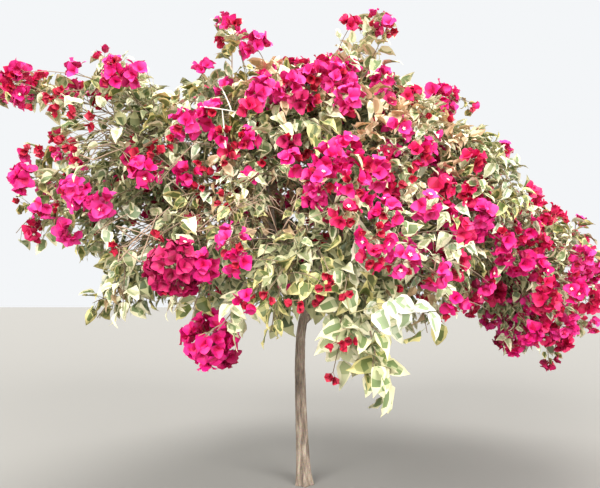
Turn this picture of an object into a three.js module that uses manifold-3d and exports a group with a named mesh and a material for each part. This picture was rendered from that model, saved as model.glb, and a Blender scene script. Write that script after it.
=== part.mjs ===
import * as THREE from 'three';
import { mergeVertices } from 'three/addons/utils/BufferGeometryUtils.js';
import Module from 'manifold-3d';

// A bougainvillea grown as a standard: one bare trunk, a fan of arching boughs and a wide, weeping
// crown of leaves and papery blossom. Millimetres, +Z up. The origin is the middle of the trunk's
// flat cut at ground level, and the crown's fullest side faces -Y.

// Trunk: a path from under the ground, where it is cut off, to the fork; it leans to +X in the crown
const TRUNK_PATH = [
  [6, 0, -60],
  [0, 0, 0],
  [-8, 0, 180],
  [-12, 0, 360],
  [-2, 2, 470],
  [42, 6, 628],
  [92, 10, 720],
];
const TRUNK_BASE_RADIUS = 19.5;
const TRUNK_TIP_RADIUS = 10;
const FLARE_WIDTH = 8;
const FLARE_HEIGHT = 45;
const TRUNK_SIDES = 12;
const TRUNK_RINGS = 15;

// Crown: every direction is measured from its heart, and its outline is the outside of these lobes
const HEART = new THREE.Vector3(40, 20, 760);
const LOBES = {
  top: { centre: [40, 30, 850], size: [500, 480, 380] },
  left: { centre: [-440, -40, 900], size: [380, 400, 290] },
  low_left: { centre: [-280, -170, 620], size: [290, 320, 240] },
  shoulder: { centre: [310, 60, 780], size: [400, 420, 320] },
  right: { centre: [565, 200, 625], size: [430, 400, 280] },
  front: { centre: [60, -330, 620], size: [330, 280, 260] },
  back: { centre: [60, 360, 700], size: [520, 320, 330] },
};

// Masses of foliage: spread evenly round the heart, and wider than they are high
const MASS_COUNT = 20;
const MASS_LOWEST = -0.5;
const MASS_REACH = 0.62;
const SPREAD = new THREE.Vector3(1.25, 1, 0.85);
const GOLDEN_TURN = Math.PI * (3 - Math.sqrt(5));

// Boughs: the main ones leave the trunk, the others fork from a main one
const MAIN_BOUGHS = 6;
const MAIN_FIRST_AT = 0.66;
const MAIN_LAST_AT = 0.93;
const FORK_PLACES = [0.34, 0.42, 0.5, 0.58, 0.66, 0.74];
const BOUGH_REACH = 0.36;
const BOUGH_REACH_STEP = 0.02;
const BOUGH_ARCH = 0.16;
const MAIN_RADIUS = [8.5, 5];
const FORK_RADIUS = [5, 3.6];
const BOUGH_SIDES = 6;
const BOUGH_RINGS = 4;
const FIT_GAP = 0.3;
const CLEARANCE = 1;
const NEARLY_UPRIGHT = 0.05;

// Stems and shoots: a stem carries each mass, and its shoots reach the crown's outside
const STEM_REACH = 0.68;
const STEM_TIP_RADIUS = 2.6;
const STEM_SIDES = 4;
const STEM_RINGS = 3;
const SHOOT_COUNT = 104;
const SHOOT_LOWEST = -0.62;
const SHOOT_REACH = 0.93;
const SHOOT_RADIUS = [3.2, 1.9];
const SHOOT_SIDES = 3;
const SHOOT_BARE_RING = 0.16;
const SHOOT_PIECES = 3;
const SHOOT_ARCH = 0.2;
const SHOOT_FIRST_AT = 0.25;
const SHOOT_LAST_AT = 0.97;
const DRAW_IN = 0.05;

// Long canes that stand out of the crown, each named for the place of its tip
const CANES = {
  left_high: [-870, -120, 1145],
  left_middle: [-711, -200, 922],
  left_low: [-752, -150, 767],
  left_skirt: [-582, -100, 482],
  left_top: [-593, -60, 1246],
  top_left: [-239, 50, 1441],
  top_right: [258, 100, 1483],
  right_high: [531, 150, 1231],
  right_tip: [900, 300, 754],
  right_far: [1065, 330, 690],
  right_low: [1000, 300, 452],
  right_skirt: [817, 150, 385],
  front_hanging: [135, -545, 400],
  front_left_hanging: [-175, -490, 480],
};

// Leaves: folded blades that hang a little, larger than life because they are fewer
const LEAF = { length: 98, halfWidth: 33, widestAt: 0.42, fold: 12, tipDrop: 10 };
const LEAF_DROOP = 0.35;
const LEAF_LEAN = 0.6;
const END_LEAF_LEAN = 1.8;
const LEAF_SPACING = 46;
const LEAF_ROOM = 19;
const LEAVES_AT_LEAST = 2;
const LEAFY_FROM = 0.3;
const LEAFY_TO = 0.97;
const NODE_LENGTH = 5;
const LEAF_TRIES = 5;

// Heads: three papery bracts in one cup at a shoot's end, each head for a cluster of the real ones
const HEAD = { radius: 62, notch: 30, depth: 50, mouth: 26 };
const BRACTS_IN_HEAD = 3;

// Blossom: where it crowds, as the middle and the size of each drift, over an even sprinkling
const BLOSSOM_EVENLY = 0.2;
const FLOWERING_FROM = 0.5;
const BLOSSOM_DRIFTS = {
  right: { centre: [650, -20, 600], size: 330 },
  right_shoulder: { centre: [300, -330, 830], size: 220 },
  top: { centre: [30, -160, 1130], size: 300 },
  middle: { centre: [60, -500, 800], size: 170 },
  left: { centre: [-620, -280, 800], size: 200 },
  left_tips: { centre: [-720, -120, 1150], size: 220 },
  front_left: { centre: [-230, -470, 560], size: 150 },
  back: { centre: [-80, 560, 880], size: 260 },
};

const BARK = { color: 0x7a6558, roughness: 0.9, metalness: 0 };
const FOLIAGE = { color: 0x9aab74, roughness: 0.6, metalness: 0 };
const BLOSSOM = { color: 0xdb1672, roughness: 0.7, metalness: 0 };

const UP = new THREE.Vector3(0, 0, 1);
const SIDES = Array.from({ length: SHOOT_SIDES }, (unused, side) => side);
const wasm = await Module();
wasm.setup();

// A repeatable number from 0 to 1 for each counter
function chance(counter) {
  const wave = Math.sin(counter * 12.9898 + 78.233) * 43758.5453;
  return wave - Math.floor(wave);
}

// A direction from the heart: an even spiral over the sphere, stretched to the crown's spread
function spiralDirection(index, count, lowest) {
  const height = lowest + ((1 - lowest) * (index + 0.5)) / count;
  const ring = Math.sqrt(1 - height * height);
  const turn = index * GOLDEN_TURN;
  return new THREE.Vector3(ring * Math.cos(turn), ring * Math.sin(turn), height)
    .multiply(SPREAD)
    .normalize();
}

// How far a ray from the heart goes before it leaves the last lobe, and which lobe that is
function reach(direction) {
  const furthest = { distance: 0, lobe: '' };
  for (const [lobe, { centre, size }] of Object.entries(LOBES)) {
    const scale = new THREE.Vector3(...size);
    const from = HEART.clone().sub(new THREE.Vector3(...centre)).divide(scale);
    const along = direction.clone().divide(scale);
    const a = along.lengthSq();
    const b = from.dot(along);
    const inside = b * b - a * (from.lengthSq() - 1);
    const distance = inside > 0 ? (-b + Math.sqrt(inside)) / a : 0;
    if (distance > furthest.distance) {
      furthest.distance = distance;
      furthest.lobe = lobe;
    }
  }
  return furthest;
}

// The one of several choices that scores highest
const bestOf = (choices, score) =>
  choices.reduce((best, next) => (score(next) > score(best) ? next : best));

const fromHeart = (direction, distance) => HEART.clone().addScaledVector(direction, distance);

// A closed geometry as a solid that can be joined and cut
function solidOf(geometry) {
  geometry.deleteAttribute('normal');
  geometry.deleteAttribute('uv');
  const { attributes, index } = mergeVertices(geometry);
  const triVerts = new Uint32Array(index.array);
  const vertProperties = attributes.position.array;
  return new wasm.Manifold(new wasm.Mesh({ numProp: 3, vertProperties, triVerts }));
}

// The largest single body of a solid: a scrap that came loose, or a sealed hollow, is left behind
function largestBody(solid) {
  return solid.decompose().sort((first, second) => second.volume() - first.volume())[0];
}

// A level direction across a curve, which stays the same all along it
function levelAcross(curve) {
  const chord = curve.getPoint(1).sub(curve.getPoint(0)).normalize();
  const level = chord.cross(UP);
  return level.length() < NEARLY_UPRIGHT ? new THREE.Vector3(1, 0, 0) : level.normalize();
}

// Where a curve is at a share of its way, with its direction there and two more across it
function frameOn(curve, level, share) {
  const along = curve.getTangent(share);
  const side = level.clone().addScaledVector(along, -level.dot(along)).normalize();
  return { middle: curve.getPoint(share), along, side, across: along.clone().cross(side) };
}

function placeIn({ middle, along, side, across }, x, y, z = 0) {
  return middle
    .clone()
    .addScaledVector(side, x)
    .addScaledVector(across, y)
    .addScaledVector(along, z);
}

// A unit cylinder bent along a curve, with its radius given at every share of the way
function limbGeometry({ curve, radiusAt, sides, rings }) {
  const geometry = new THREE.CylinderGeometry(1, 1, 1, sides, rings);
  const level = levelAcross(curve);
  const vertices = geometry.attributes.position;
  for (let index = 0; index < vertices.count; index += 1) {
    const share = vertices.getY(index) + 0.5;
    const radius = radiusAt(share);
    const [x, y] = [vertices.getX(index) * radius, -vertices.getZ(index) * radius];
    const point = placeIn(frameOn(curve, level, share), x, y);
    vertices.setXYZ(index, point.x, point.y, point.z);
  }
  return geometry;
}

const taper = ([thick, thin]) => (share) => thick + (thin - thick) * share;

// A point on a faceted limb's own middle line, which runs straight from ring to ring
function pointOnFacets({ curve, rings }, share) {
  const piece = Math.min(Math.floor(share * rings), rings - 1);
  const start = curve.getPoint(piece / rings);
  return start.lerp(curve.getPoint((piece + 1) / rings), share * rings - piece);
}

// An arching limb's path: up from its start and over to its end
function arch(start, end, rise) {
  const crest = start.clone().add(end).multiplyScalar(0.5);
  crest.z += rise * start.distanceTo(end);
  return new THREE.QuadraticBezierCurve3(start, crest, end);
}

// The same limb, thicker by a little all round, as the space that its neighbours keep clear of
function clearanceOf(limb, gap) {
  const widen = gap / Math.cos(Math.PI / limb.sides);
  return solidOf(limbGeometry({ ...limb, radiusAt: (share) => limb.radiusAt(share) + widen }));
}

// A limb's straight pieces, with the room that each needs
function piecesOf({ curve, radiusAt, rings }, owner) {
  const points = curve.getPoints(rings);
  return points.slice(1).map((end, index) => ({
    owner,
    line: new THREE.Line3(points[index], end),
    room: radiusAt(index / rings),
  }));
}

// Whether a straight piece keeps clear of others, apart from those with its own owner
function clearOf(pieces, { line, room, owner }) {
  const apart = (piece) => Math.sqrt(piece.line.distanceSqToLine3(line)) - piece.room - room;
  return pieces.every((piece) => piece.owner === owner || apart(piece) > CLEARANCE);
}

// The trunk's radius: an even taper, with the root flare added near the ground
function trunkRadius(share) {
  const height = Math.max(trunkCurve.getPoint(share).z, 0);
  const rise = height / TRUNK_PATH.at(-1)[2];
  const even = TRUNK_BASE_RADIUS + (TRUNK_TIP_RADIUS - TRUNK_BASE_RADIUS) * rise;
  return even + FLARE_WIDTH * Math.exp(-height / FLARE_HEIGHT);
}

const trunkCurve = new THREE.CatmullRomCurve3(
  TRUNK_PATH.map((point) => new THREE.Vector3(...point)),
  false,
  'catmullrom',
);
const trunk = {
  name: 'trunk',
  curve: trunkCurve,
  radiusAt: trunkRadius,
  sides: TRUNK_SIDES,
  rings: TRUNK_RINGS,
};
trunk.solid = solidOf(limbGeometry(trunk)).trimByPlane([0, 0, 1], 0);

// Masses: the middle of each, and a plain name from the lobe that it fills
function placeMasses() {
  const counted = {};
  return Array.from({ length: MASS_COUNT }, (unused, index) => {
    const direction = spiralDirection(index, MASS_COUNT, MASS_LOWEST);
    const { distance, lobe } = reach(direction);
    counted[lobe] = (counted[lobe] ?? 0) + 1;
    const centre = fromHeart(direction, distance * MASS_REACH);
    const name = `${lobe}_${counted[lobe]}`;
    const flowering = blossomAt(fromHeart(direction, distance)) > FLOWERING_FROM;
    return { name, direction, distance, centre, flowering, tips: [] };
  });
}

const masses = placeMasses();

// How far a point is inside a mass's own space: the wall to each neighbour is halfway between them
function roomIn(mass, point) {
  const own = point.distanceToSquared(mass.centre);
  return Math.min(
    ...masses
      .filter((other) => other !== mass)
      .map((other) => {
        const apart = 2 * other.centre.distanceTo(mass.centre);
        return (point.distanceToSquared(other.centre) - own) / apart;
      }),
  );
}

// Where a mass's bough ends: the first point towards its middle that lies in its own space
function boughTip(mass) {
  let share = BOUGH_REACH;
  while (roomIn(mass, fromHeart(mass.direction, mass.distance * share)) < MAIN_RADIUS[0]) {
    share += BOUGH_REACH_STEP;
  }
  return fromHeart(mass.direction, mass.distance * share);
}

// Every limb's pieces, which later limbs, twigs and leaves keep clear of
const limbPieces = piecesOf(trunk, trunk);

// A bough, cut to fit round the limb that carries it
function makeBough(mass, curve, radii, carrier) {
  const radiusAt = taper(radii);
  const bough = { name: `bough_${mass.name}`, curve, radiusAt, sides: BOUGH_SIDES, rings: BOUGH_RINGS };
  const whole = solidOf(limbGeometry(bough));
  bough.solid = carrier ? largestBody(whole.subtract(clearanceOf(carrier, FIT_GAP))) : whole;
  limbPieces.push(...piecesOf(bough, bough));
  mass.bough = bough;
  return bough;
}

// The main boughs, one above the other on the trunk, for the masses that lie lowest
function growMainBough(mass, order) {
  const at = MAIN_FIRST_AT + ((MAIN_LAST_AT - MAIN_FIRST_AT) * order) / (MAIN_BOUGHS - 1);
  const curve = arch(trunkCurve.getPoint(at), boughTip(mass), BOUGH_ARCH);
  return makeBough(mass, curve, MAIN_RADIUS, trunk);
}

// A fork from the nearest main bough that has a place where it keeps clear of every other limb
function growFork(mass) {
  const tip = boughTip(mass);
  const distanceTo = (bough) => tip.distanceTo(bough.curve.v2);
  const places = mainBoughs
    .toSorted((first, second) => distanceTo(first) - distanceTo(second))
    .flatMap((carrier) => FORK_PLACES.map((at) => ({ carrier, at })));
  const pathFrom = ({ carrier, at }) => arch(carrier.curve.getPoint(at), tip, BOUGH_ARCH);
  const isClear = (place) => {
    const path = { curve: pathFrom(place), radiusAt: taper(FORK_RADIUS), rings: BOUGH_RINGS };
    return piecesOf(path, place.carrier).every((piece) => clearOf(limbPieces, piece));
  };
  const place = places.find(isClear);
  return makeBough(mass, pathFrom(place), FORK_RADIUS, place.carrier);
}

// The leader, which carries on from the trunk's tip
function growLeader(mass) {
  const along = trunkCurve.getTangent(1);
  const start = trunkCurve.getPoint(1).addScaledVector(along, FIT_GAP);
  const end = boughTip(mass);
  const crest = start.clone().addScaledVector(along, start.distanceTo(end) / 2);
  const curve = new THREE.QuadraticBezierCurve3(start, crest, end);
  return makeBough(mass, curve, [TRUNK_TIP_RADIUS, FORK_RADIUS[1]]);
}

const mainMasses = masses.slice(0, MAIN_BOUGHS);
const forkMasses = masses.slice(MAIN_BOUGHS, -1);
const mainBoughs = mainMasses.map(growMainBough);
const leader = growLeader(masses.at(-1));
const limbs = [trunk, ...mainBoughs, leader, ...forkMasses.map(growFork)];

// A leaf's corners: its tip, and the widest place of its two raised edges
function leafCorners(root, direction) {
  const face = root.clone().sub(HEART).normalize().add(UP);
  face.addScaledVector(direction, -face.dot(direction)).normalize();
  const side = face.clone().cross(direction);
  const middle = root.clone().addScaledVector(direction, LEAF.widestAt * LEAF.length);
  const edge = (way) =>
    middle.clone().addScaledVector(side, way * LEAF.halfWidth).addScaledVector(face, LEAF.fold);
  const tip = root.clone().addScaledVector(direction, LEAF.length);
  tip.addScaledVector(face, -LEAF.tipDrop);
  return { face, direction, right: edge(1), tip, left: edge(-1) };
}

// A leaf on a shoot, turned round it until it keeps to the mass's space, clear of every limb and of
// the leaves already there, or else left out
function growLeaf(mass, shoot, at, spin, lean) {
  const root = shoot.curve.getPoint(at);
  const along = shoot.curve.getTangent(at);
  const level = along.clone().cross(UP).normalize();
  for (let turn = 0; turn < LEAF_TRIES; turn += 1) {
    const direction = level
      .clone()
      .applyAxisAngle(along, spin + (turn * 2 * Math.PI) / LEAF_TRIES)
      .addScaledVector(along, lean)
      .addScaledVector(UP, -LEAF_DROOP)
      .normalize();
    const leaf = { at, ...leafCorners(root, direction) };
    const corners = [leaf.right, leaf.tip, leaf.left];
    const inside = corners.every((corner) => roomIn(mass, corner) > CLEARANCE);
    const middle = root.clone().addScaledVector(direction, LEAF_ROOM);
    const blade = { line: new THREE.Line3(middle, leaf.tip), room: LEAF_ROOM };
    if (inside && clearOf(limbPieces, blade) && clearOf(mass.pieces, { ...blade, owner: shoot })) {
      mass.pieces.push(blade);
      return [leaf];
    }
  }
  return [];
}

// The surface of one shoot: three-sided rings along its curve, two close together at each leaf,
// where the side that looks the leaf's way is drawn out into the blade
class ShootSurface {
  corners = [];
  faces = [];

  constructor(shoot) {
    this.shoot = shoot;
    this.level = levelAcross(shoot.curve);
    const nodeShare = NODE_LENGTH / shoot.curve.v0.distanceTo(shoot.curve.v2);
    const nodes = shoot.leaves.flatMap(({ at }) => [at, at + nodeShare]);
    this.rings = [0, SHOOT_BARE_RING, ...nodes, 1].map((share) => this.addRing(share));
  }

  addCorner(point) {
    return this.corners.push(point) - 1;
  }

  addRing(share) {
    const frame = frameOn(this.shoot.curve, this.level, share);
    const radius = this.shoot.radiusAt(share);
    return this.addRound(frame, SHOOT_SIDES, () => radius);
  }

  // Corners round a frame, the first one on its side, as far out as each is told
  addRound(frame, count, outAt, height = 0) {
    return Array.from({ length: count }, (unused, index) => {
      const angle = (index * 2 * Math.PI) / count;
      const out = outAt(index);
      return this.addCorner(placeIn(frame, out * Math.cos(angle), out * Math.sin(angle), height));
    });
  }

  // One side between two rings, as its four corners, anticlockwise from outside
  sideBetween(index, side) {
    const next = (side + 1) % SHOOT_SIDES;
    const [lower, upper] = [this.rings[index], this.rings[index + 1]];
    return [lower[side], lower[next], upper[next], upper[side]];
  }

  // How squarely a side looks along a direction
  outlook(index, side, direction) {
    const [a, b, c, d] = this.sideBetween(index, side).map((corner) => this.corners[corner]);
    return c.clone().sub(a).cross(d.clone().sub(b)).normalize().dot(direction);
  }

  // A blade drawn out of a side, whose upper edge is the one nearest to the leaf's face
  drawLeaf(quad, leaf) {
    const turned = (turn) => [...quad.slice(turn), ...quad.slice(0, turn)];
    const lift = (corners) => {
      const [a, b, c, d] = corners.map((corner) => this.corners[corner]);
      return c.clone().add(d).sub(a).sub(b).dot(leaf.face);
    };
    const [lowLeft, lowRight, highRight, highLeft] = bestOf([0, 1, 2, 3].map(turned), lift);
    const right = this.addCorner(leaf.right);
    const tip = this.addCorner(leaf.tip);
    const left = this.addCorner(leaf.left);
    this.faces.push([highLeft, left, tip], [highLeft, tip, highRight], [highRight, tip, right]);
    this.faces.push([lowLeft, tip, left], [lowLeft, lowRight, tip], [lowRight, right, tip]);
    this.faces.push([left, highLeft, lowLeft], [right, lowRight, highRight]);
  }

  drawSides() {
    for (let index = 0; index < this.rings.length - 1; index += 1) {
      const leaf = index % 2 === 0 ? this.shoot.leaves[index / 2 - 1] : undefined;
      const leafSide = leaf && bestOf(SIDES, (side) => this.outlook(index, side, leaf.direction));
      for (const side of SIDES) {
        const quad = this.sideBetween(index, side);
        const [a, b, c, d] = quad;
        if (side === leafSide) this.drawLeaf(quad, leaf);
        else this.faces.push([a, b, c], [a, c, d]);
      }
    }
  }

  drawEnds() {
    const [first, last] = [this.rings[0], this.rings.at(-1)];
    this.faces.push([...first].reverse());
    if (this.shoot.flowers) this.drawHead(last);
    else this.faces.push(last);
  }

  // A head of bracts: a cup that opens from the last ring to a rim with a tip for each bract and a
  // notch between each two, round a mouth pressed in
  drawHead(ring) {
    const frame = frameOn(this.shoot.curve, this.level, 1);
    const outAt = (index) => (index % 2 === 0 ? HEAD.radius : HEAD.notch);
    const rim = this.addRound(frame, 2 * BRACTS_IN_HEAD, outAt, HEAD.depth);
    const mouth = this.addCorner(placeIn(frame, 0, 0, HEAD.mouth));
    rim.forEach((corner, index) => this.faces.push([mouth, corner, rim[(index + 1) % rim.length]]));
    for (const side of SIDES) {
      const [near, next] = [ring[side], ring[(side + 1) % SHOOT_SIDES]];
      const [tip, notch, nextTip] = [0, 1, 2].map((step) => rim[(2 * side + step) % rim.length]);
      this.faces.push([notch, tip, near], [notch, near, next], [notch, next, nextTip]);
    }
  }

  solid() {
    this.drawSides();
    this.drawEnds();
    const geometry = new THREE.BufferGeometry().setFromPoints(this.corners);
    return solidOf(geometry.setIndex(this.faces.flat()));
  }
}

// How thick the blossom is at a place, from 0 to 1
function blossomAt(point) {
  const drifts = Object.values(BLOSSOM_DRIFTS).map(({ centre, size }) => {
    const away = point.distanceTo(new THREE.Vector3(...centre)) / size;
    return Math.exp(-away * away);
  });
  return BLOSSOM_EVENLY + Math.max(...drifts) * (1 - BLOSSOM_EVENLY);
}

// The leaves along a shoot, from its end inwards, and whether it ends in a head of bracts
function dressShoot(mass, shoot) {
  const { curve, seed } = shoot;
  const leafyLength = curve.v0.distanceTo(curve.v2) * (LEAFY_TO - LEAFY_FROM);
  const count = Math.max(LEAVES_AT_LEAST, Math.round(leafyLength / LEAF_SPACING));
  const end = curve.getPoint(1).addScaledVector(curve.getTangent(1), HEAD.depth);
  shoot.flowers = chance(seed + 0.5) < blossomAt(end) && roomIn(mass, end) > HEAD.radius;
  shoot.leaves = [];
  for (let index = count - 1; index >= 0; index -= 1) {
    const at = LEAFY_FROM + ((LEAFY_TO - LEAFY_FROM) * (index + 0.5)) / count;
    const lean = index === count - 1 && !shoot.flowers ? END_LEAF_LEAN : LEAF_LEAN;
    shoot.leaves.unshift(...growLeaf(mass, shoot, at, index * GOLDEN_TURN + seed, lean));
  }
}

// A shoot from the stem to its tip, drawn in until it keeps to the mass's space
function growShoot(mass, wanted, seed) {
  const radiusAt = taper(SHOOT_RADIUS);
  const from = SHOOT_FIRST_AT + (SHOOT_LAST_AT - SHOOT_FIRST_AT) * chance(seed);
  const start = pointOnFacets(mass.stem, from);
  const tip = wanted.clone();
  const room = SHOOT_RADIUS[0] + CLEARANCE;
  while (roomIn(mass, tip) < room) tip.lerp(mass.centre, DRAW_IN);
  for (const rise of [SHOOT_ARCH, SHOOT_ARCH / 2, 0]) {
    const curve = arch(start, tip, rise);
    const shoot = { curve, radiusAt, rings: SHOOT_PIECES, seed };
    const isClear = piecesOf(shoot).every((piece) => clearOf(limbPieces, piece));
    if (roomIn(mass, curve.v1) > room && isClear) return [shoot];
  }
  return [];
}

// The stem goes on from the bough's tip, in the bough's own direction, into the mass
function growStem(mass) {
  const { curve: carrier, radiusAt } = mass.bough;
  const along = carrier.getTangent(1);
  const start = carrier.getPoint(1).addScaledVector(along, FIT_GAP);
  const end = fromHeart(mass.direction, mass.distance * STEM_REACH);
  const crest = start.clone().addScaledVector(along, start.distanceTo(end) / 2);
  return {
    curve: new THREE.QuadraticBezierCurve3(start, crest, end),
    radiusAt: taper([radiusAt(1), STEM_TIP_RADIUS]),
    sides: STEM_SIDES,
    rings: STEM_RINGS,
  };
}

// Every shoot's tip, given to the mass whose space it is in
function shareOutTips() {
  const tips = Object.values(CANES).map((tip) => new THREE.Vector3(...tip));
  for (let index = 0; index < SHOOT_COUNT; index += 1) {
    const direction = spiralDirection(index, SHOOT_COUNT, SHOOT_LOWEST);
    tips.push(fromHeart(direction, reach(direction).distance * SHOOT_REACH));
  }
  tips.forEach((tip, seed) => {
    bestOf(masses, (mass) => -tip.distanceTo(mass.centre)).tips.push({ tip, seed });
  });
}

// One mass: its stem, then every shoot, then the leaves on each, all joined
function growMass(mass) {
  mass.stem = growStem(mass);
  const shoots = mass.tips.flatMap(({ tip, seed }) => growShoot(mass, tip, seed));
  mass.pieces = shoots.flatMap((shoot) => piecesOf(shoot, shoot));
  for (const shoot of shoots) dressShoot(mass, shoot);
  const solids = shoots.map((shoot) => new ShootSurface(shoot).solid());
  const stem = solidOf(limbGeometry(mass.stem));
  return largestBody(solids.reduce((joined, solid) => joined.add(solid), stem));
}

function meshOf(name, solid, finish) {
  const { vertProperties, triVerts } = solid.getMesh();
  const geometry = new THREE.BufferGeometry();
  geometry.setAttribute('position', new THREE.BufferAttribute(vertProperties, 3));
  geometry.setIndex(new THREE.BufferAttribute(triVerts, 1));
  geometry.computeVertexNormals();
  const mesh = new THREE.Mesh(geometry, new THREE.MeshStandardMaterial(finish));
  mesh.name = name;
  return mesh;
}

const group = new THREE.Group();
for (const limb of limbs) group.add(meshOf(limb.name, limb.solid, BARK));
shareOutTips();
for (const mass of masses) {
  const solid = growMass(mass);
  group.add(meshOf(`foliage_${mass.name}`, solid, mass.flowering ? BLOSSOM : FOLIAGE));
}

export default group;
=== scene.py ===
# %% [markdown]
# # A bougainvillea grown as a standard
# The plant is one bare trunk under a wide, weeping crown of cream-edged leaves and magenta blossom.
# Its solids hold the trunk, the boughs and twenty masses of foliage. This script grows the same
# skeleton again by the same rule, then carries it on to fine twigs, real leaves and single bracts.
# Growing it by a rule, and not by hand, keeps every leaf on a twig and every twig on a bough.

import bpy
import numpy as np
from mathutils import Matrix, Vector


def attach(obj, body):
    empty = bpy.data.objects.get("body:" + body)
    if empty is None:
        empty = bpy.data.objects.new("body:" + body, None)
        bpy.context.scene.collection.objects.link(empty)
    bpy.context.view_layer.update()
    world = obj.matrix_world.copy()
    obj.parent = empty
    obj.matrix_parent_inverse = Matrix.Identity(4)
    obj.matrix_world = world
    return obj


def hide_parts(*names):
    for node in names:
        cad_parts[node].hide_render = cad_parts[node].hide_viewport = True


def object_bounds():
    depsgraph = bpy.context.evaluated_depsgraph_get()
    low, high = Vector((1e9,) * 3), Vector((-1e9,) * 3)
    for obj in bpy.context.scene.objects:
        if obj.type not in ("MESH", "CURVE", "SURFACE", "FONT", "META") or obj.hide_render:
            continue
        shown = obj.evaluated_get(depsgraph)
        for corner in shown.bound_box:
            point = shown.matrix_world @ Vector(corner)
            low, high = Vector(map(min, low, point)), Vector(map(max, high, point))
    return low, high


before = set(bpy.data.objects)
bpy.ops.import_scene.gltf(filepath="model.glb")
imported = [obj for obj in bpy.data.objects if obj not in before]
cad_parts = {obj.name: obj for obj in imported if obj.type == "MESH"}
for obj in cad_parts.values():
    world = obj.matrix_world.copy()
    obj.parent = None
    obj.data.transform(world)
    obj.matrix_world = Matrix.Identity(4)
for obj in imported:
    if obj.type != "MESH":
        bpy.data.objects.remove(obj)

cad_low, cad_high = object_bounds()
bough_nodes = sorted(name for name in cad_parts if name.startswith("bough_"))
foliage_nodes = sorted(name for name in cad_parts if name.startswith("foliage_"))
print(f"{len(bough_nodes)} boughs and {len(foliage_nodes)} masses of foliage to dress")

# %% [markdown]
# ## The camera
# The photograph was taken close by, with the crown's near side at arm's length, so that the lens is
# wide and the front leaves look twice as large as those at the back. The camera comes first, because
# it tells how small a leaf is in the picture, and so how many faces it needs.

# %% Camera
CAMERA_PLACE = (-0.012, -1.420, 0.557)
CAMERA_TILT = np.radians(5.8)
PHOTO_WIDTH = 600
FOCAL_PIXELS = 465
SENSOR_WIDTH = 36

camera_data = bpy.data.cameras.new("camera")
camera_data.sensor_width = SENSOR_WIDTH
camera_data.lens = SENSOR_WIDTH * FOCAL_PIXELS / PHOTO_WIDTH
camera = bpy.data.objects.new("camera", camera_data)
camera.location = CAMERA_PLACE
camera.rotation_euler = (np.pi / 2 + CAMERA_TILT, 0, 0)
bpy.context.scene.collection.objects.link(camera)
bpy.context.scene.camera = camera
print(f"lens of {camera_data.lens:.1f} mm")

# %% [markdown]
# ## Numbers for growing
# A plant is full of small accidents, but this one has to grow the same way each time. Two sources of
# chance do that: a formula for the skeleton, which the solids share, and a seeded generator for the
# fine growth, which only this script has.

# %% Directions and chance
UP = np.array([0.0, 0.0, 1.0])
GOLDEN_TURN = np.pi * (3 - np.sqrt(5))
SEED = 7
CHANCE_RATE, CHANCE_SHIFT, CHANCE_SCALE = 12.9898, 78.233, 43758.5453


def unit(vectors):
    """Each vector divided by its own length."""
    return vectors / np.linalg.norm(vectors, axis=-1, keepdims=True)


def chance(counter):
    """A repeatable number from 0 to 1: what is left after the point of a large multiple of a sine."""
    wave = np.sin(counter * CHANCE_RATE + CHANCE_SHIFT) * CHANCE_SCALE
    return wave - np.floor(wave)


def dice_for(step):
    """A seeded generator for one step of growing, so that a change in one step leaves the others."""
    return np.random.default_rng([SEED, step])


def between(low, high, count):
    """As many numbers as asked for, spread evenly by chance from low to high."""
    return low + (high - low) * rng.random(count)


def varied(limits, count):
    """For each thing that varies: as many numbers as asked for, from its least to its most."""
    return {key: between(*ends, count) for key, ends in limits.items()}


rng = dice_for(0)
print(f"first chances: {chance(0.0):.3f}, {chance(1.0):.3f}")

# %% [markdown]
# ## From the photograph to space and back
# A posy, a gap or a patch of new leaves is easiest to name by where it shows in the photograph. One
# function turns a pixel into a direction, the other turns a point into its pixel, and a few named
# ellipses then say where something is more or less frequent.

# %% Pixels and rays
PHOTO_MIDDLE = np.array([300, 244])


def columns_of(table):
    """A table of named rows as one array for each column."""
    return [np.array(column) for column in zip(*table.values())]


def lines_of_sight(pixels):
    """Directions from the camera through pixels: ahead by the focal length in pixels, right and up
    by the pixels from the photograph's middle, tilted with the camera."""
    right, down = (pixels - PHOTO_MIDDLE).T
    ahead = np.full(len(pixels), float(FOCAL_PIXELS))
    level = ahead * np.cos(CAMERA_TILT) + down * np.sin(CAMERA_TILT)
    rise = ahead * np.sin(CAMERA_TILT) - down * np.cos(CAMERA_TILT)
    return unit(np.stack([right, level, rise], 1))


def pixels_of(points):
    """Where points show in the photograph: their offsets right and down, over the offset ahead, in
    focal lengths, once the camera's tilt is taken out."""
    right, level, rise = (points - CAMERA_PLACE).T
    ahead = level * np.cos(CAMERA_TILT) + rise * np.sin(CAMERA_TILT)
    down = level * np.sin(CAMERA_TILT) - rise * np.cos(CAMERA_TILT)
    return PHOTO_MIDDLE + np.stack([right, down], 1) * (FOCAL_PIXELS / ahead)[:, None]


def share_in(points, ellipses):
    """The largest share that ellipses of the photograph give to points. An ellipse is its middle's
    column and row, its half width and half height in pixels, and its share. Inside it the share is
    nearly whole and beyond its edge it soon fades: e to the power of minus the fourth power of the
    distance from its middle, in its half widths."""
    column, row, half_width, half_height, share = columns_of(ellipses)
    places = pixels_of(points)[:, None]
    square = ((places[..., 0] - column) / half_width) ** 2 + ((places[..., 1] - row) / half_height) ** 2
    return (np.exp(-(square**2)) * share).max(-1)


print(f"the crown's heart shows at pixel {pixels_of(np.array([[0.04, 0.02, 0.76]])).round(0)[0]}")

# %% [markdown]
# ## The crown's outline
# From any side the crown is a few round heaps that run into each other. Each heap is an ellipsoid, and
# the outline in a direction is where a ray from the crown's heart leaves the last of them. That needs
# only one quadratic equation for each heap, and works for a thousand rays at once.

# %% Outline
HEART = np.array([0.040, 0.020, 0.760])
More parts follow.
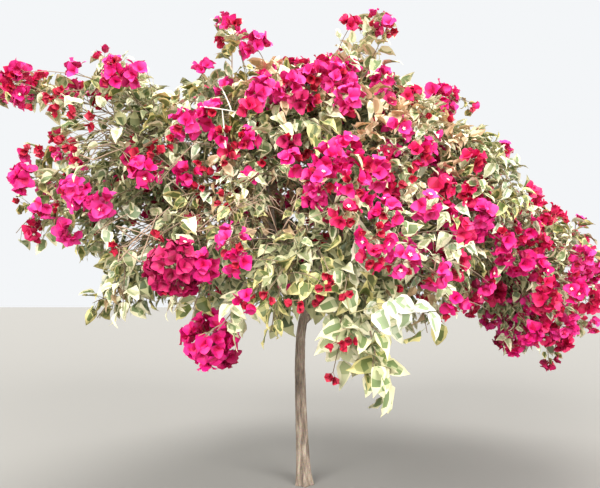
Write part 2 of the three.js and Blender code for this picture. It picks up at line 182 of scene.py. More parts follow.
# For each heap: its middle and its half sizes, in metres.
LOBES = {
    "top": ((0.040, 0.030, 0.850), (0.500, 0.480, 0.380)),
    "left": ((-0.440, -0.040, 0.900), (0.380, 0.400, 0.290)),
    "low_left": ((-0.280, -0.170, 0.620), (0.290, 0.320, 0.240)),
    "shoulder": ((0.310, 0.060, 0.780), (0.400, 0.420, 0.320)),
    "right": ((0.565, 0.200, 0.625), (0.430, 0.400, 0.280)),
    "front": ((0.060, -0.330, 0.620), (0.330, 0.280, 0.260)),
    "back": ((0.060, 0.360, 0.700), (0.520, 0.320, 0.330)),
}
LOBE_CENTRES, LOBE_SIZES = np.array(list(LOBES.values())).transpose(1, 0, 2)
SPREAD = np.array([1.25, 1.0, 0.85])


def spiral_directions(count, lowest, first_turn=0.0):
    """Directions on a golden spiral: heights rise evenly from lowest to 1, each turned by the golden
    angle from the one before, and all are stretched to the crown's spread."""
    index = np.arange(count)
    height = lowest + (1 - lowest) * (index + 0.5) / count
    ring = np.sqrt(1 - height**2)
    turn = first_turn + index * GOLDEN_TURN
    return unit(np.stack([ring * np.cos(turn), ring * np.sin(turn), height], 1) * SPREAD)


def reach(directions):
    """The distance at which rays leave the last heap: the larger root of the quadratic that says a
    point on the ray, measured from a heap's middle in the heap's sizes, is one size away."""
    away = (HEART - LOBE_CENTRES) / LOBE_SIZES
    along = directions[..., None, :] / LOBE_SIZES
    square, mixed = (along**2).sum(-1), (along * away).sum(-1)
    inside = mixed**2 - square * ((away**2).sum(-1) - 1)
    roots = (np.sqrt(np.maximum(inside, 0)) - mixed) / square
    return np.where(inside > 0, roots, 0).max(-1)


print(f"the crown reaches {reach(UP):.2f} m above its heart")

# %% [markdown]
# ## The masses
# A crown like this is not one ball of leaves: each bough feeds its own part. The masses lie on a
# spiral round the heart, and each owns the space that is nearer to its middle than to any other, so
# that the walls between them are flat and halfway, as between soap bubbles.

# %% Masses
MASS_COUNT = 20
MASS_LOWEST = -0.5
MASS_REACH = 0.62

mass_directions = spiral_directions(MASS_COUNT, MASS_LOWEST)
mass_distances = reach(mass_directions)
mass_centres = HEART + mass_directions * (mass_distances * MASS_REACH)[:, None]


def room_in(mass, point):
    """How far a point lies inside a mass's space: the least distance to a wall, which is the
    difference of the squared distances to two middles over twice their distance."""
    squares = ((point - mass_centres) ** 2).sum(-1)
    apart = 2 * np.linalg.norm(mass_centres - mass_centres[mass], axis=-1)
    others = np.arange(MASS_COUNT) != mass
    return ((squares[others] - squares[mass]) / apart[others]).min()


print(f"{MASS_COUNT} masses, {mass_distances.min():.2f} to {mass_distances.max():.2f} m out")

# %% [markdown]
# ## Curves for limbs
# The trunk is a smooth cubic curve through a few points, and every other limb is a quadratic curve with
# three corners. Both have a formula, so that a whole crown of them can be worked out as arrays.

# %% Curves
TRUNK_PATH = np.array([
    [0.006, 0, -0.060],
    [0, 0, 0],
    [-0.008, 0, 0.180],
    [-0.012, 0, 0.360],
    [-0.002, 0.002, 0.470],
    [0.042, 0.006, 0.628],
    [0.092, 0.010, 0.720],
])
SMALL_STEP = 1e-4


def trunk_points(share):
    """Points of the trunk's curve at shares of its way: a cubic in each span, whose slopes are half
    the way between the neighbours, with the ends carried on straight."""
    first, last = 2 * TRUNK_PATH[0] - TRUNK_PATH[1], 2 * TRUNK_PATH[-1] - TRUNK_PATH[-2]
    path = np.vstack([first, TRUNK_PATH, last])
    place = np.clip(share, 0, 1) * (len(TRUNK_PATH) - 1)
    span = np.minimum(place.astype(int), len(TRUNK_PATH) - 2)
    way = (place - span)[..., None]
    before, start, end, after = (path[span + step] for step in range(4))
    leave, arrive = (end - before) / 2, (after - start) / 2
    cubic = 2 * (start - end) + leave + arrive
    square = 3 * (end - start) - 2 * leave - arrive
    return cubic * way**3 + square * way**2 + leave * way + start


def trunk_direction(share):
    """The trunk's direction: the way between two points a small step apart."""
    ends = trunk_points(np.clip(np.array([share - SMALL_STEP, share + SMALL_STEP]), 0, 1))
    return unit(ends[1] - ends[0])


def curve_points(corners, share):
    """Points of quadratic curves: their corners weighted by (1-s)², 2s(1-s) and s²."""
    share = np.asarray(share)[..., None]
    start, crest, end = (corners[..., corner, :] for corner in range(3))
    return start * (1 - share) ** 2 + crest * 2 * share * (1 - share) + end * share**2


def curve_directions(corners, share):
    """Their directions: the two sides of the corners' triangle, weighted by 1-s and s."""
    share = np.asarray(share)[..., None]
    start, crest, end = (corners[..., corner, :] for corner in range(3))
    return unit((crest - start) * (1 - share) + (end - crest) * share)


def arch(start, end, rise):
    """The corners of a limb that arches up by a share of its length."""
    lift = UP * rise * np.linalg.norm(end - start, axis=-1, keepdims=True)
    return np.stack([start, (start + end) / 2 + lift, end], axis=-2)


def carried_on(start, along, end):
    """The corners of a limb that leaves in a given direction before it turns to its end."""
    return np.array([start, start + along * np.linalg.norm(end - start) / 2, end])


print(f"the trunk's tip is at {trunk_points(np.array(1.0)).round(3)}")

# %% [markdown]
# ## Which limbs are in the way
# Two limbs never cross in the solids, so each new one is tested against those that are there. A limb
# counts as a few straight pieces, each with its own room, and the distance between two straight pieces
# has a closed formula.

# %% Clearance
CLEARANCE = 0.001
TRUNK, NO_OWNER = -1, -2
JUST_ABOVE_ZERO = 1e-18
limb_pieces = {"start": [], "end": [], "room": [], "owner": []}


def straight_pieces(points, rooms):
    """A limb's pieces as arrays of starts, ends and rooms."""
    return points[:-1], points[1:], rooms


def remember(points, rooms, owner):
    """Adds a limb's pieces to those that later limbs keep clear of."""
    starts, ends, rooms = straight_pieces(points, rooms)
    limb_pieces["start"].extend(starts)
    limb_pieces["end"].extend(ends)
    limb_pieces["room"].extend(rooms)
    limb_pieces["owner"].extend([owner] * len(rooms))


def distances_to(start, end):
    """The least distances from one straight piece to every piece remembered: the nearest shares of
    both ways solve two linear equations, and are then held between 0 and 1."""
    first, others = end - start, np.subtract(limb_pieces["end"], limb_pieces["start"])
    offset = start - np.array(limb_pieces["start"])
    own, their = first @ first, (others**2).sum(-1)
    across, back, forth = others @ first, (others * offset).sum(-1), offset @ first
    flat = np.maximum(own * their - across**2, JUST_ABOVE_ZERO)
    share = np.clip((across * back - forth * their) / flat, 0, 1)
    theirs = (across * share + back) / their
    share = np.where(theirs < 0, np.clip(-forth / own, 0, 1), share)
    share = np.where(theirs > 1, np.clip((across - forth) / own, 0, 1), share)
    theirs = np.clip(theirs, 0, 1)
    gaps = offset + first * share[:, None] - others * theirs[:, None]
    return np.linalg.norm(gaps, axis=-1)


def is_clear(points, rooms, owner=NO_OWNER):
    """Whether a limb keeps clear of all that is remembered, apart from its own carrier."""
    others = np.array(limb_pieces["owner"]) != owner
    for start, end, room in zip(*straight_pieces(points, rooms)):
        apart = distances_to(start, end) - np.array(limb_pieces["room"]) - room
        if (apart[others] <= CLEARANCE).any():
            return False
    return True


# %% [markdown]
# ## Trunk and boughs
# Six main boughs leave the trunk one above the other for the lowest masses. The leader carries the
# trunk on to the highest mass, and every other mass hangs on a fork of the nearest main bough that has
# a free place. The sizes here are those of the solids.

# %% Skeleton
TRUNK_BASE_RADIUS = 0.0195
TRUNK_TIP_RADIUS = 0.010
FLARE_WIDTH = 0.008
FLARE_HEIGHT = 0.045
TRUNK_PIECES = 15
MAIN_BOUGHS = 6
MAIN_FIRST_AT, MAIN_LAST_AT = 0.66, 0.93
FORK_PLACES = (0.34, 0.42, 0.5, 0.58, 0.66, 0.74)
BOUGH_REACH, BOUGH_REACH_STEP = 0.36, 0.02
BOUGH_ARCH = 0.16
BOUGH_PIECES = 4
MAIN_RADII = (0.0085, 0.005)
FORK_RADII = (0.005, 0.0036)
FIT_GAP = 0.0003


def taper(radii, share):
    """Radii that change evenly from the first to the second along a limb."""
    return radii[0] + (radii[1] - radii[0]) * np.asarray(share)


def trunk_radius(height):
    """An even taper up the trunk, with a flare that dies away with height."""
    even = taper((TRUNK_BASE_RADIUS, TRUNK_TIP_RADIUS), height / TRUNK_PATH[-1, 2])
    return even + FLARE_WIDTH * np.exp(-height / FLARE_HEIGHT)


def bough_tip(mass):
    """The first point towards a mass's middle that lies well inside the mass's space."""
    share = BOUGH_REACH
    while True:
        tip = HEART + mass_directions[mass] * mass_distances[mass] * share
        if room_in(mass, tip) >= MAIN_RADII[0]:
            return tip
        share += BOUGH_REACH_STEP


def piece_shares(pieces):
    """Where the straight pieces of a limb meet, as shares of its way."""
    return np.arange(pieces + 1) / pieces


def add_bough(mass, corners, radii):
    """Keeps a bough, and remembers its pieces for later limbs."""
    boughs[mass] = {"corners": corners, "radii": radii}
    shares = piece_shares(BOUGH_PIECES)
    remember(curve_points(corners, shares), taper(radii, shares[:-1]), mass)


def grow_main(mass):
    """A main bough, from its place on the trunk."""
    at = MAIN_FIRST_AT + (MAIN_LAST_AT - MAIN_FIRST_AT) * mass / (MAIN_BOUGHS - 1)
    add_bough(mass, arch(trunk_points(np.array(at)), bough_tip(mass), BOUGH_ARCH), MAIN_RADII)


def grow_leader(mass):
    """The leader, which carries on from the trunk's tip."""
    along = trunk_direction(1.0)
    start = trunk_points(np.array(1.0)) + along * FIT_GAP
    add_bough(mass, carried_on(start, along, bough_tip(mass)), (TRUNK_TIP_RADIUS, FORK_RADII[1]))


def grow_fork(mass):
    """A fork from the first place on the nearest main boughs where it is clear of every limb."""
    tip = bough_tip(mass)
    shares = piece_shares(BOUGH_PIECES)
    apart = [np.linalg.norm(tip - boughs[main]["corners"][2]) for main in range(MAIN_BOUGHS)]
    for main in np.argsort(apart).tolist():
        for at in FORK_PLACES:
            corners = arch(curve_points(boughs[main]["corners"], at), tip, BOUGH_ARCH)
            if is_clear(curve_points(corners, shares), taper(FORK_RADII, shares[:-1]), main):
                return add_bough(mass, corners, FORK_RADII)


boughs = {}
trunk_shares = piece_shares(TRUNK_PIECES)
trunk_heights = np.maximum(trunk_points(trunk_shares)[:, 2], 0)
remember(trunk_points(trunk_shares), trunk_radius(trunk_heights)[:-1], TRUNK)
for mass in range(MAIN_BOUGHS):
    grow_main(mass)
grow_leader(MASS_COUNT - 1)
for mass in range(MAIN_BOUGHS, MASS_COUNT - 1):
    grow_fork(mass)
print(f"{len(boughs)} boughs grown")

# %% [markdown]
# ## Stems and shoots
# In each mass a stem carries on from the bough, and long shoots leave it for the crown's outside. The
# tips of the shoots come first: fourteen long canes that stand out of the crown, then an even spiral.
# Each tip belongs to the mass whose middle is nearest, and is drawn in until it lies in its space.

# %% Shoots
# For each cane: where its tip is, in metres.
CANES = {
    "left_high": (-0.870, -0.120, 1.145),
    "left_middle": (-0.711, -0.200, 0.922),
    "left_low": (-0.752, -0.150, 0.767),
    "left_skirt": (-0.582, -0.100, 0.482),
    "left_top": (-0.593, -0.060, 1.246),
    "top_left": (-0.239, 0.050, 1.441),
    "top_right": (0.258, 0.100, 1.483),
    "right_high": (0.531, 0.150, 1.231),
    "right_tip": (0.900, 0.300, 0.754),
    "right_far": (1.065, 0.330, 0.690),
    "right_low": (1.000, 0.300, 0.452),
    "right_skirt": (0.817, 0.150, 0.385),
    "front_hanging": (0.135, -0.545, 0.400),
    "front_left_hanging": (-0.175, -0.490, 0.480),
}
STEM_REACH = 0.68
STEM_TIP_RADIUS = 0.0026
STEM_PIECES = 3
SHOOT_COUNT = 104
SHOOT_LOWEST = -0.62
SHOOT_REACH = 0.93
SHOOT_RADII = (0.0032, 0.0019)
SHOOT_PIECES = 3
SHOOT_RISES = (0.2, 0.1, 0.0)
SHOOT_FIRST_AT, SHOOT_LAST_AT = 0.25, 0.97
DRAW_IN = 0.05


def grow_stem(mass):
    """The stem, in the bough's own direction from its tip into the mass."""
    bough = boughs[mass]
    along = curve_directions(bough["corners"], 1.0)
    start = bough["corners"][2] + along * FIT_GAP
    return carried_on(start, along, HEART + mass_directions[mass] * mass_distances[mass] * STEM_REACH)


def point_on_stem(corners, share):
    """A point of the stem's straight pieces, part of the way along one of them."""
    piece = min(int(share * STEM_PIECES), STEM_PIECES - 1)
    start, end = curve_points(corners, np.array([piece, piece + 1]) / STEM_PIECES)
    return start + (end - start) * (share * STEM_PIECES - piece)


def grow_shoot(mass, stem, tip, seed):
    """A shoot from the stem to its tip, with the highest arch that keeps clear, or none."""
    start = point_on_stem(stem, SHOOT_FIRST_AT + (SHOOT_LAST_AT - SHOOT_FIRST_AT) * chance(seed))
    room = SHOOT_RADII[0] + CLEARANCE
    while room_in(mass, tip) < room:
        tip = tip + (mass_centres[mass] - tip) * DRAW_IN
    shares = piece_shares(SHOOT_PIECES)
    for rise in SHOOT_RISES:
        corners = arch(start, tip, rise)
        clear = is_clear(curve_points(corners, shares), taper(SHOOT_RADII, shares[:-1]))
        if room_in(mass, corners[1]) > room and clear:
            return [corners]
    return []


def nearest_masses(points):
    """The mass whose middle is nearest to each point."""
    return np.linalg.norm(points[:, None] - mass_centres, axis=-1).argmin(-1)


def spiral_tips(count, lowest, share, first_turn=0.0):
    """Tips on a golden spiral at a share of the crown's reach."""
    directions = spiral_directions(count, lowest, first_turn)
    return HEART + directions * (reach(directions) * share)[:, None]


def grow_shoots(tips, first_seed):
    """Shoots to all tips that have a clear way, and the seed of each."""
    grown, seeds = [], []
    for seed, (tip, mass) in enumerate(zip(tips, nearest_masses(tips)), first_seed):
        shoot = grow_shoot(mass, stems[mass], tip, seed)
        grown.extend(shoot)
        seeds.extend([seed] * len(shoot))
    return np.array(grown), np.array(seeds)


stems = np.array([grow_stem(mass) for mass in range(MASS_COUNT)])
cane_tips = np.array(list(CANES.values()))
tips = np.vstack([cane_tips, spiral_tips(SHOOT_COUNT, SHOOT_LOWEST, SHOOT_REACH)])
shoots, shoot_seeds = grow_shoots(tips, first_seed=0)
shoot_is_cane = shoot_seeds < len(CANES)
print(f"{len(shoots)} shoots, {shoot_is_cane.sum()} of them canes")

# %% [markdown]
# ## Filling shoots
# The solids have only as many shoots as they can afford. Seen from above, the dome would be thin, and
# its inside empty. More and thinner shoots grow here by the same rule: some for the dome, and some
# that stay inside the crown, where leaves are few and small.

# %% Filling shoots
# For each kind: its first shoot's seed, how many there are, the lowest height, the share of the
# crown's reach and the first turn.
FILLING = {
    "crest": (400, 9, 0.86, 0.93, 0.6),
    "dome": (200, 30, 0.40, 0.92, 1.0),
    "inside": (300, 48, -0.40, 0.72, 2.0),
}
FILLING_RADIUS = 0.0022

filling = []
for first_seed, *spiral in FILLING.values():
    filling.append(grow_shoots(spiral_tips(*spiral), first_seed)[0])
filling_counts = [len(grown) for grown in filling]
filling = np.vstack(filling)
print(f"{filling_counts} filling shoots")

# %% [markdown]
# ## Open places
# The crown isn't equally full everywhere. Between the canes on the left and under the skirt on the
# right one sees right through. Cutting holes into finished foliage would leave twigs that end in the
# air, so the twigs there aren't grown at all. An open place is a point in the crown with a size and a
# share: near its middle that share of the twigs is missing, and the share fades out. A window is the
# same as the photograph shows it, and so lets one see through from the front.

# %% Open places
# For each open place: its middle in metres, its size in metres, and the share of twigs missing.
OPEN_PLACES = {
    "left_canes": ((-0.780, -0.120, 1.000), 0.220, 0.85),
    "left_tip": ((-0.820, -0.150, 0.860), 0.150, 0.80),
    "left_side": ((-0.660, -0.180, 0.620), 0.190, 0.97),
    "left_hem": ((-0.500, -0.220, 0.430), 0.150, 0.95),
    "front_hem": ((0.330, -0.400, 0.410), 0.170, 0.97),
    "trunk_top": ((0.000, -0.450, 0.360), 0.120, 0.92),
    "front_left_hem": ((-0.320, -0.380, 0.430), 0.110, 0.80),
    "left_top": ((-0.420, -0.150, 1.200), 0.110, 0.60),
}

# For each window, an ellipse of the photograph: its share is that of twigs and leaves missing.
WINDOWS = {
    "left_edge": (24, 142, 28, 30, 0.95),
    "left_upper": (96, 134, 21, 34, 0.92),
    "left_inner": (128, 120, 12, 24, 0.60),
    "left_dark": (137, 236, 19, 30, 0.80),
    "left_low": (40, 275, 34, 26, 0.95),
    "left_hem": (80, 345, 50, 30, 0.97),
    "left_edge_low": (6, 222, 18, 44, 0.99),
    "above_top_left": (232, 4, 26, 13, 0.97),
    "above_left": (166, 80, 18, 12, 0.85),
    "beside_top_left": (238, 60, 12, 14, 0.80),
    "under_right": (462, 396, 52, 38, 0.99),
    "under_middle": (388, 440, 60, 24, 0.99),
    "beside_trunk": (262, 375, 38, 26, 0.90),
    "right_far": (562, 372, 44, 14, 0.97),
}


def bell(points, centres, sizes, power=2):
    """Bell curves of the distances from points to centres, in sizes: 1 at a centre, and the steeper
    at the rim the higher the power."""
    away = np.linalg.norm(points[:, None] - centres, axis=-1) / sizes
    return np.exp(-(away**power))


def share_near(points, places):
    """The largest share that places give to points. A place is its middle, its size and its share,
    which fades out as a bell curve."""
    centres, sizes, shares = columns_of(places)
    return (bell(points, centres, sizes) * shares).max(-1)


def missing_share(points, on_cane):
    """The largest share of the windows and, for twigs that aren't a cane's, of the open places."""
    open_share = np.where(on_cane, 0, share_near(points, OPEN_PLACES))
    return np.maximum(share_in(points, WINDOWS), open_share)


print(f"{len(OPEN_PLACES)} open places, {len(WINDOWS)} windows")

# %% [markdown]
# ## Fine twigs
# The solids stop at the shoots. On the real plant each shoot carries side twigs all along, these carry
# still finer ones, and all of them arch over and hang. Both generations follow the solids' rule: a
# place along the carrier, a golden turn from the last one, and a tip that stays within the outline.

# %% Side twigs
SIDE_SPACING = 0.023
INSIDE_SPACING = 0.038
SIDE_FROM = 0.14
SIDE_LENGTHS = (0.070, 0.180)
CANE_SIDE_LENGTHS = (0.028, 0.075)
LENGTH_AT_FOOT, LENGTH_LOST = 1.15, 0.5
SIDE_ARCH = 0.16
SIDE_DROOP = 0.20
OUTLINE_SHARE = 0.97
CANE_TWIGS_FROM = 0.45
CANE_BEYOND = 2.0
TWIG_ACROSS, TWIG_ALONG, TWIG_OUTWARD = 0.8, 0.55, 0.4
UPRIGHT_LIMIT = 1e-3
RIGHT = (1.0, 0.0, 0.0)


def lengths_of(corners):
    """The lengths of limbs, as the straight way from end to end."""
    return np.linalg.norm(corners[:, 2] - corners[:, 0], axis=-1)


def across_twigs(along):
    """Two directions across each twig, the first of them level, and to the right if the twig stands
    upright."""
    level = np.cross(along, UP)
    level[np.linalg.norm(level, axis=-1) < UPRIGHT_LIMIT] = RIGHT
    level = unit(level)
    return level, np.cross(level, along)


def around(along, spin):
    """Directions across twigs, turned round them by spin."""
    level, over = across_twigs(along)
    return level * np.cos(spin)[:, None] + over * np.sin(spin)[:, None]


def outward_from_heart(points):
    """Directions from the heart to points."""
    return unit(points - HEART)


def depth_of(points):
    """How far out points are, from 0 at the heart to 1 at the outline."""
    return np.linalg.norm(points - HEART, axis=-1) / reach(outward_from_heart(points))


def held_within(points, beyond):
    """Points drawn straight in towards the heart until they lie within the outline, or within so
    much of it as a cane's own twigs may reach beyond."""
    allowed = np.maximum(OUTLINE_SHARE, beyond)
    return HEART + (points - HEART) * np.minimum(1, allowed / depth_of(points))[:, None]


def grow_twigs(carriers, owner, share, spin, length, droop, beyond):
    """Twigs that leave carriers at shares of their way. The direction mixes one across the carrier,
    turned by spin, the carrier's own and the way out, and the tip hangs by a share of the length."""
    start = curve_points(carriers[owner], share)
    along = curve_directions(carriers[owner], share)
    sideways, outward = around(along, spin), outward_from_heart(start)
    heading = unit(TWIG_ACROSS * sideways + TWIG_ALONG * along + TWIG_OUTWARD * outward)
    tip = start + heading * length[:, None] - UP * (droop * length)[:, None]
    return start, held_within(tip, beyond)


def numbered(counts):
    """For so many children of each carrier: the carrier of each child, and its place among them."""
    owner = np.repeat(np.arange(len(counts)), counts)
    order = np.arange(counts.sum()) - np.repeat(np.cumsum(counts) - counts, counts)
    return owner, order


rng = dice_for(1)
limbs = np.vstack([shoots, stems, filling])
limb_is_cane = np.arange(len(limbs)) < shoot_is_cane.sum()
limb_is_inside = np.arange(len(limbs)) >= len(limbs) - filling_counts[-1]
limb_spacing = np.where(limb_is_inside, INSIDE_SPACING, SIDE_SPACING)
side_counts = np.round(lengths_of(limbs) * (1 - SIDE_FROM) / limb_spacing).astype(int)
side_owner, side_order = numbered(side_counts)
side_share = SIDE_FROM + (1 - SIDE_FROM) * (side_order + 0.5) / side_counts[side_owner]
side_on_cane = limb_is_cane[side_owner] & (side_share > CANE_TWIGS_FROM)
side_length = between(*SIDE_LENGTHS, len(side_owner)) * (LENGTH_AT_FOOT - LENGTH_LOST * side_share)
side_length = np.where(side_on_cane, between(*CANE_SIDE_LENGTHS, len(side_owner)), side_length)
side_spin = side_order * GOLDEN_TURN + side_owner
side_start, side_tip = grow_twigs(
    limbs, side_owner, side_share, side_spin, side_length, SIDE_DROOP, side_on_cane * CANE_BEYOND
)
kept = rng.random(len(side_tip)) > missing_share(side_tip, side_on_cane)
side_start, side_tip, side_on_cane = side_start[kept], side_tip[kept], side_on_cane[kept]
side_owner, side_share = side_owner[kept], side_share[kept]
print(f"{len(side_tip)} side twigs of {len(kept)}")

# %% [markdown]
# ## Posies
# The blossom that one notices first are tight posies at the ends of twigs. Each is read off the
# photograph as a pixel, with a number of flowers. The ray through the pixel meets the crown's outline,
# and the nearest free twig bends until its tip is there, so that the posy sits on a real twig.

# %% Posies
POSY_DEPTH = 0.98
FAR_AWAY = 1000.0
CANE_TWIG_COST = 0.05
# For each posy: its column and row in the photograph, and its number of flowers.
POSIES = {
    "ball_left": (177, 268, 50),
    "ball_left_edge": (206, 264, 9),
    "ball_low": (210, 339, 46),
    "ball_low_edge": (228, 352, 9),
    "left_edge": (46, 206, 6),
    "left_edge_low": (37, 230, 5),
    "left_tip": (18, 82, 8),
    "left_tip_low": (27, 98, 6),
    "left_tip_high": (25, 72, 4),
    "tip_above": (78, 73, 4),
    "crest_right": (436, 96, 7),
    "top_left_high": (233, 28, 5),
    "top_left_right": (256, 47, 8),
    "top_shoot_left": (349, 28, 5),
    "top_shoot_right": (387, 30, 3),
    "ball_middle": (232, 243, 9),
    "ball_middle_low": (240, 262, 5),
    "skirt_middle": (250, 298, 4),
    "left_upper": (76, 190, 9),
    "left_upper_low": (86, 202, 6),
    "left_upper_right": (104, 205, 8),
    "left_lower": (70, 231, 7),
    "left_inner": (145, 172, 7),
    "left_inner_right": (190, 175, 6),
    "shoulder_left": (185, 124, 8),
    "shoulder_left_right": (213, 116, 8),
    "shoulder_left_low": (222, 138, 5),
    "shoulder_top": (205, 71, 6),
    "pair_left": (116, 80, 6),
    "pair_right": (138, 77, 7),
    "dome_left": (262, 95, 8),
    "dome_left_low": (250, 110, 5),
    "dome_middle": (290, 88, 8),
    "dome_middle_low": (302, 105, 6),
    "dome_top": (315, 77, 8),
    "dome_right": (336, 82, 8),
    "dome_right_low": (350, 100, 7),
    "centre_left": (290, 163, 5),
    "centre_top": (345, 150, 10),
    "centre": (330, 162, 10),
    "centre_low": (320, 183, 9),
    "centre_right": (352, 186, 8),
    "heart_left": (345, 215, 6),
    "heart": (375, 238, 10),
    "heart_low": (372, 258, 6),
    "heart_top": (386, 214, 8),
    "heart_right": (402, 262, 9),
    "slope_top": (400, 130, 5),
    "slope": (416, 155, 6),
    "slope_right": (440, 190, 7),
    "slope_low": (425, 205, 5),
    "flank": (470, 162, 5),
    "flank_low": (480, 215, 7),
    "flank_inner": (458, 232, 5),
    "low_right": (434, 274, 6),
    "low_right_hem": (452, 300, 5),
    "low_right_far": (482, 284, 4),
    "flank_right": (500, 240, 8),
    "far_side": (520, 262, 9),
    "far_side_low": (545, 300, 10),
    "far_hem": (560, 325, 10),
    "far_hem_left": (530, 332, 8),
    "far_edge": (588, 300, 7),
}
YOUNG_POSIES = {
    "drop": (322, 283, 3),
    "drop_upper": (330, 275, 2),
    "drop_left": (298, 300, 3),
    "drop_right": (345, 290, 2),
    "drop_low": (336, 342, 3),
    "drop_lower": (333, 372, 2),
    "tip_inner": (54, 98, 3),
    "tip_lower": (63, 111, 3),
    "tip_lowest": (78, 114, 2),
    "tip_last": (96, 121, 2),
    "pair_above": (116, 64, 3),
    "side_upper": (68, 141, 3),
    "side_lower": (80, 155, 3),
    "side_edge": (45, 150, 3),
    "side_middle": (58, 152, 1),
    "inner_upper": (176, 142, 2),
    "inner_lower": (140, 164, 3),
    "inner_right": (158, 156, 2),
    "inner_low": (163, 232, 2),
    "hem_left": (120, 247, 2),
    "skirt_low": (268, 292, 2),
}


def met_by(rays):
    """Where rays from the camera first meet the heaps, drawn in a little: the smaller root of each
    heap's quadratic, and the least of them. A ray that just misses them all is followed to where it
    passes nearest to one."""
    sizes = LOBE_SIZES * POSY_DEPTH
    away, along = (np.array(CAMERA_PLACE) - LOBE_CENTRES) / sizes, rays[:, None] / sizes
    square, mixed, distance = (along**2).sum(-1), (along * away).sum(-1), (away**2).sum(-1)
    inside = mixed**2 - square * (distance - 1)
    roots = (-mixed - np.sqrt(np.maximum(inside, 0))) / square
    missed_by = distance - mixed**2 / square
    nearest = np.where(inside > 0, roots, FAR_AWAY + missed_by).argmin(-1)
    return CAMERA_PLACE + rays * roots[np.arange(len(rays)), nearest][:, None]


posy_columns, posy_rows, posy_counts = columns_of(POSIES | YOUNG_POSIES)
posy_is_young = np.arange(len(posy_counts)) >= len(POSIES)
posy_places = met_by(lines_of_sight(np.stack([posy_columns, posy_rows], 1)))
posy_twigs = []
for place in posy_places:
    away = np.linalg.norm(side_tip - place, axis=-1) + CANE_TWIG_COST * side_on_cane
    away[posy_twigs] = np.inf
    posy_twigs.append(int(away.argmin()))
bent = np.linalg.norm(side_tip[posy_twigs] - posy_places, axis=-1)
side_tip[posy_twigs] = posy_places
sides = arch(side_start, side_tip, SIDE_ARCH)
print(f"{len(posy_counts)} posies")
print(f"their twigs bend by {bent.mean() * 1000:.0f} mm, {bent.max() * 1000:.0f} at most")

# %% [markdown]
# ## The finest twigs
# Every side twig forks into two still finer ones, the last before the leaves. They could be dealt out
# as copies of a few, but each one is worked out for its own place, so that none pokes out of the crown.

# %% Finest twigs
FINE_PER_SIDE = 2
FINE_FROM, FINE_SPAN, FINE_WANDER = 0.35, 0.45, 0.15
FINE_LENGTHS = (0.030, 0.075)
FINE_AT_MOST = 0.6
FINE_ARCH = 0.10
FINE_DROOP = 0.12

rng = dice_for(2)
fine_owner, fine_order = numbered(np.full(len(sides), FINE_PER_SIDE))
fine_count = len(fine_owner)
fine_share = FINE_FROM + FINE_SPAN * fine_order / FINE_PER_SIDE + between(0, FINE_WANDER, fine_count)
fine_length = between(*FINE_LENGTHS, fine_count)
fine_length = np.minimum(fine_length, FINE_AT_MOST * lengths_of(sides)[fine_owner])
fine_spin = between(0, 2 * np.pi, fine_count)
fine_beyond = side_on_cane[fine_owner] * CANE_BEYOND
fine_start, fine_tip = grow_twigs(
    sides, fine_owner, fine_share, fine_spin, fine_length, FINE_DROOP, fine_beyond
)
kept = rng.random(len(fine_tip)) > share_in(fine_tip, WINDOWS)
fine_owner = fine_owner[kept]
fines = arch(fine_start[kept], fine_tip[kept], FINE_ARCH)
print(f"{len(fines)} finest twigs")

# %% [markdown]
# ## Dead, bare and pale twigs
# A few twigs on the left and under the right slope are bare. Three have died and lost their bark, and
# stand out nearly white. In the middle a tangle of bare ones shows between the leaves, and over the hem
# one young twig carries a row of pale leaves. Each is read off the photograph from pixel to pixel, lies
# close to the outermost leaves, and is carried back to the nearest side twig, as a real one would be.

# %% Dead twigs
# For each twig: the column and row where it starts in the photograph, and those where it ends.
DEAD_TWIGS = {
    "upper": (231, 109, 219, 84),
    "lower": (226, 148, 222, 109),
    "level": (200, 107, 236, 112),
}
BARE_TWIGS = {
    "long": (158, 184, 198, 139),
    "long_beside": (150, 190, 188, 149),
    "gap_upper": (128, 246, 170, 207),
    "gap_lower": (118, 262, 152, 226),
    "gap_steep": (140, 262, 158, 212),
    "gap_across": (116, 226, 160, 240),
    "middle": (196, 232, 236, 200),
    "middle_low": (214, 248, 262, 226),
    "outer": (94, 160, 124, 148),
    "outer_low": (96, 232, 128, 214),
    "right": (436, 258, 470, 298),
    "right_beside": (430, 268, 462, 304),
    "right_low": (446, 300, 488, 310),
    "right_upper": (452, 262, 492, 286),
}
LEAFY_TWIGS = {
    "row_left": (350, 314, 390, 304),
    "row_right": (388, 304, 432, 309),
    "hanging": (362, 352, 386, 396),
}
# The tangle is given in pixels, and its slant in radians.
TANGLE_MIDDLE, TANGLE_HALF = np.array([248, 220]), np.array([60, 32])
TANGLE_COUNT = 26
TANGLE_LENGTHS = (10, 28)
TANGLE_SLANT = 1.3
TANGLE_ARCH, READ_OFF_ARCH = 0.14, 0.04
BEFORE_LEAVES, AMONG_LEAVES = 0.015, -0.012
ANCHOR_SHARES = np.array([0.3, 0.6, 1.0])


def read_off(starts, ends, nearer=BEFORE_LEAVES, rise=READ_OFF_ARCH):
    """Twigs from pixel to pixel, nearer than the outline by so much, and what carries each of them
    back to the nearest place on a side twig."""
    places = []
    for pixels in (starts, ends):
        rays = lines_of_sight(pixels)
        places.append(met_by(rays) - rays * nearer)
    start, end = places
    anchors = curve_points(sides[:, None], ANCHOR_SHARES).reshape(-1, 3)
    nearest = np.linalg.norm(start[:, None] - anchors, axis=-1).argmin(-1)
    return arch(anchors[nearest], start, 0.0), arch(start, end, rise)


def ends_in(table):
    """The pixels where the twigs of a table start and end."""
    columns = columns_of(table)
    return np.stack(columns[:2], 1), np.stack(columns[2:], 1)


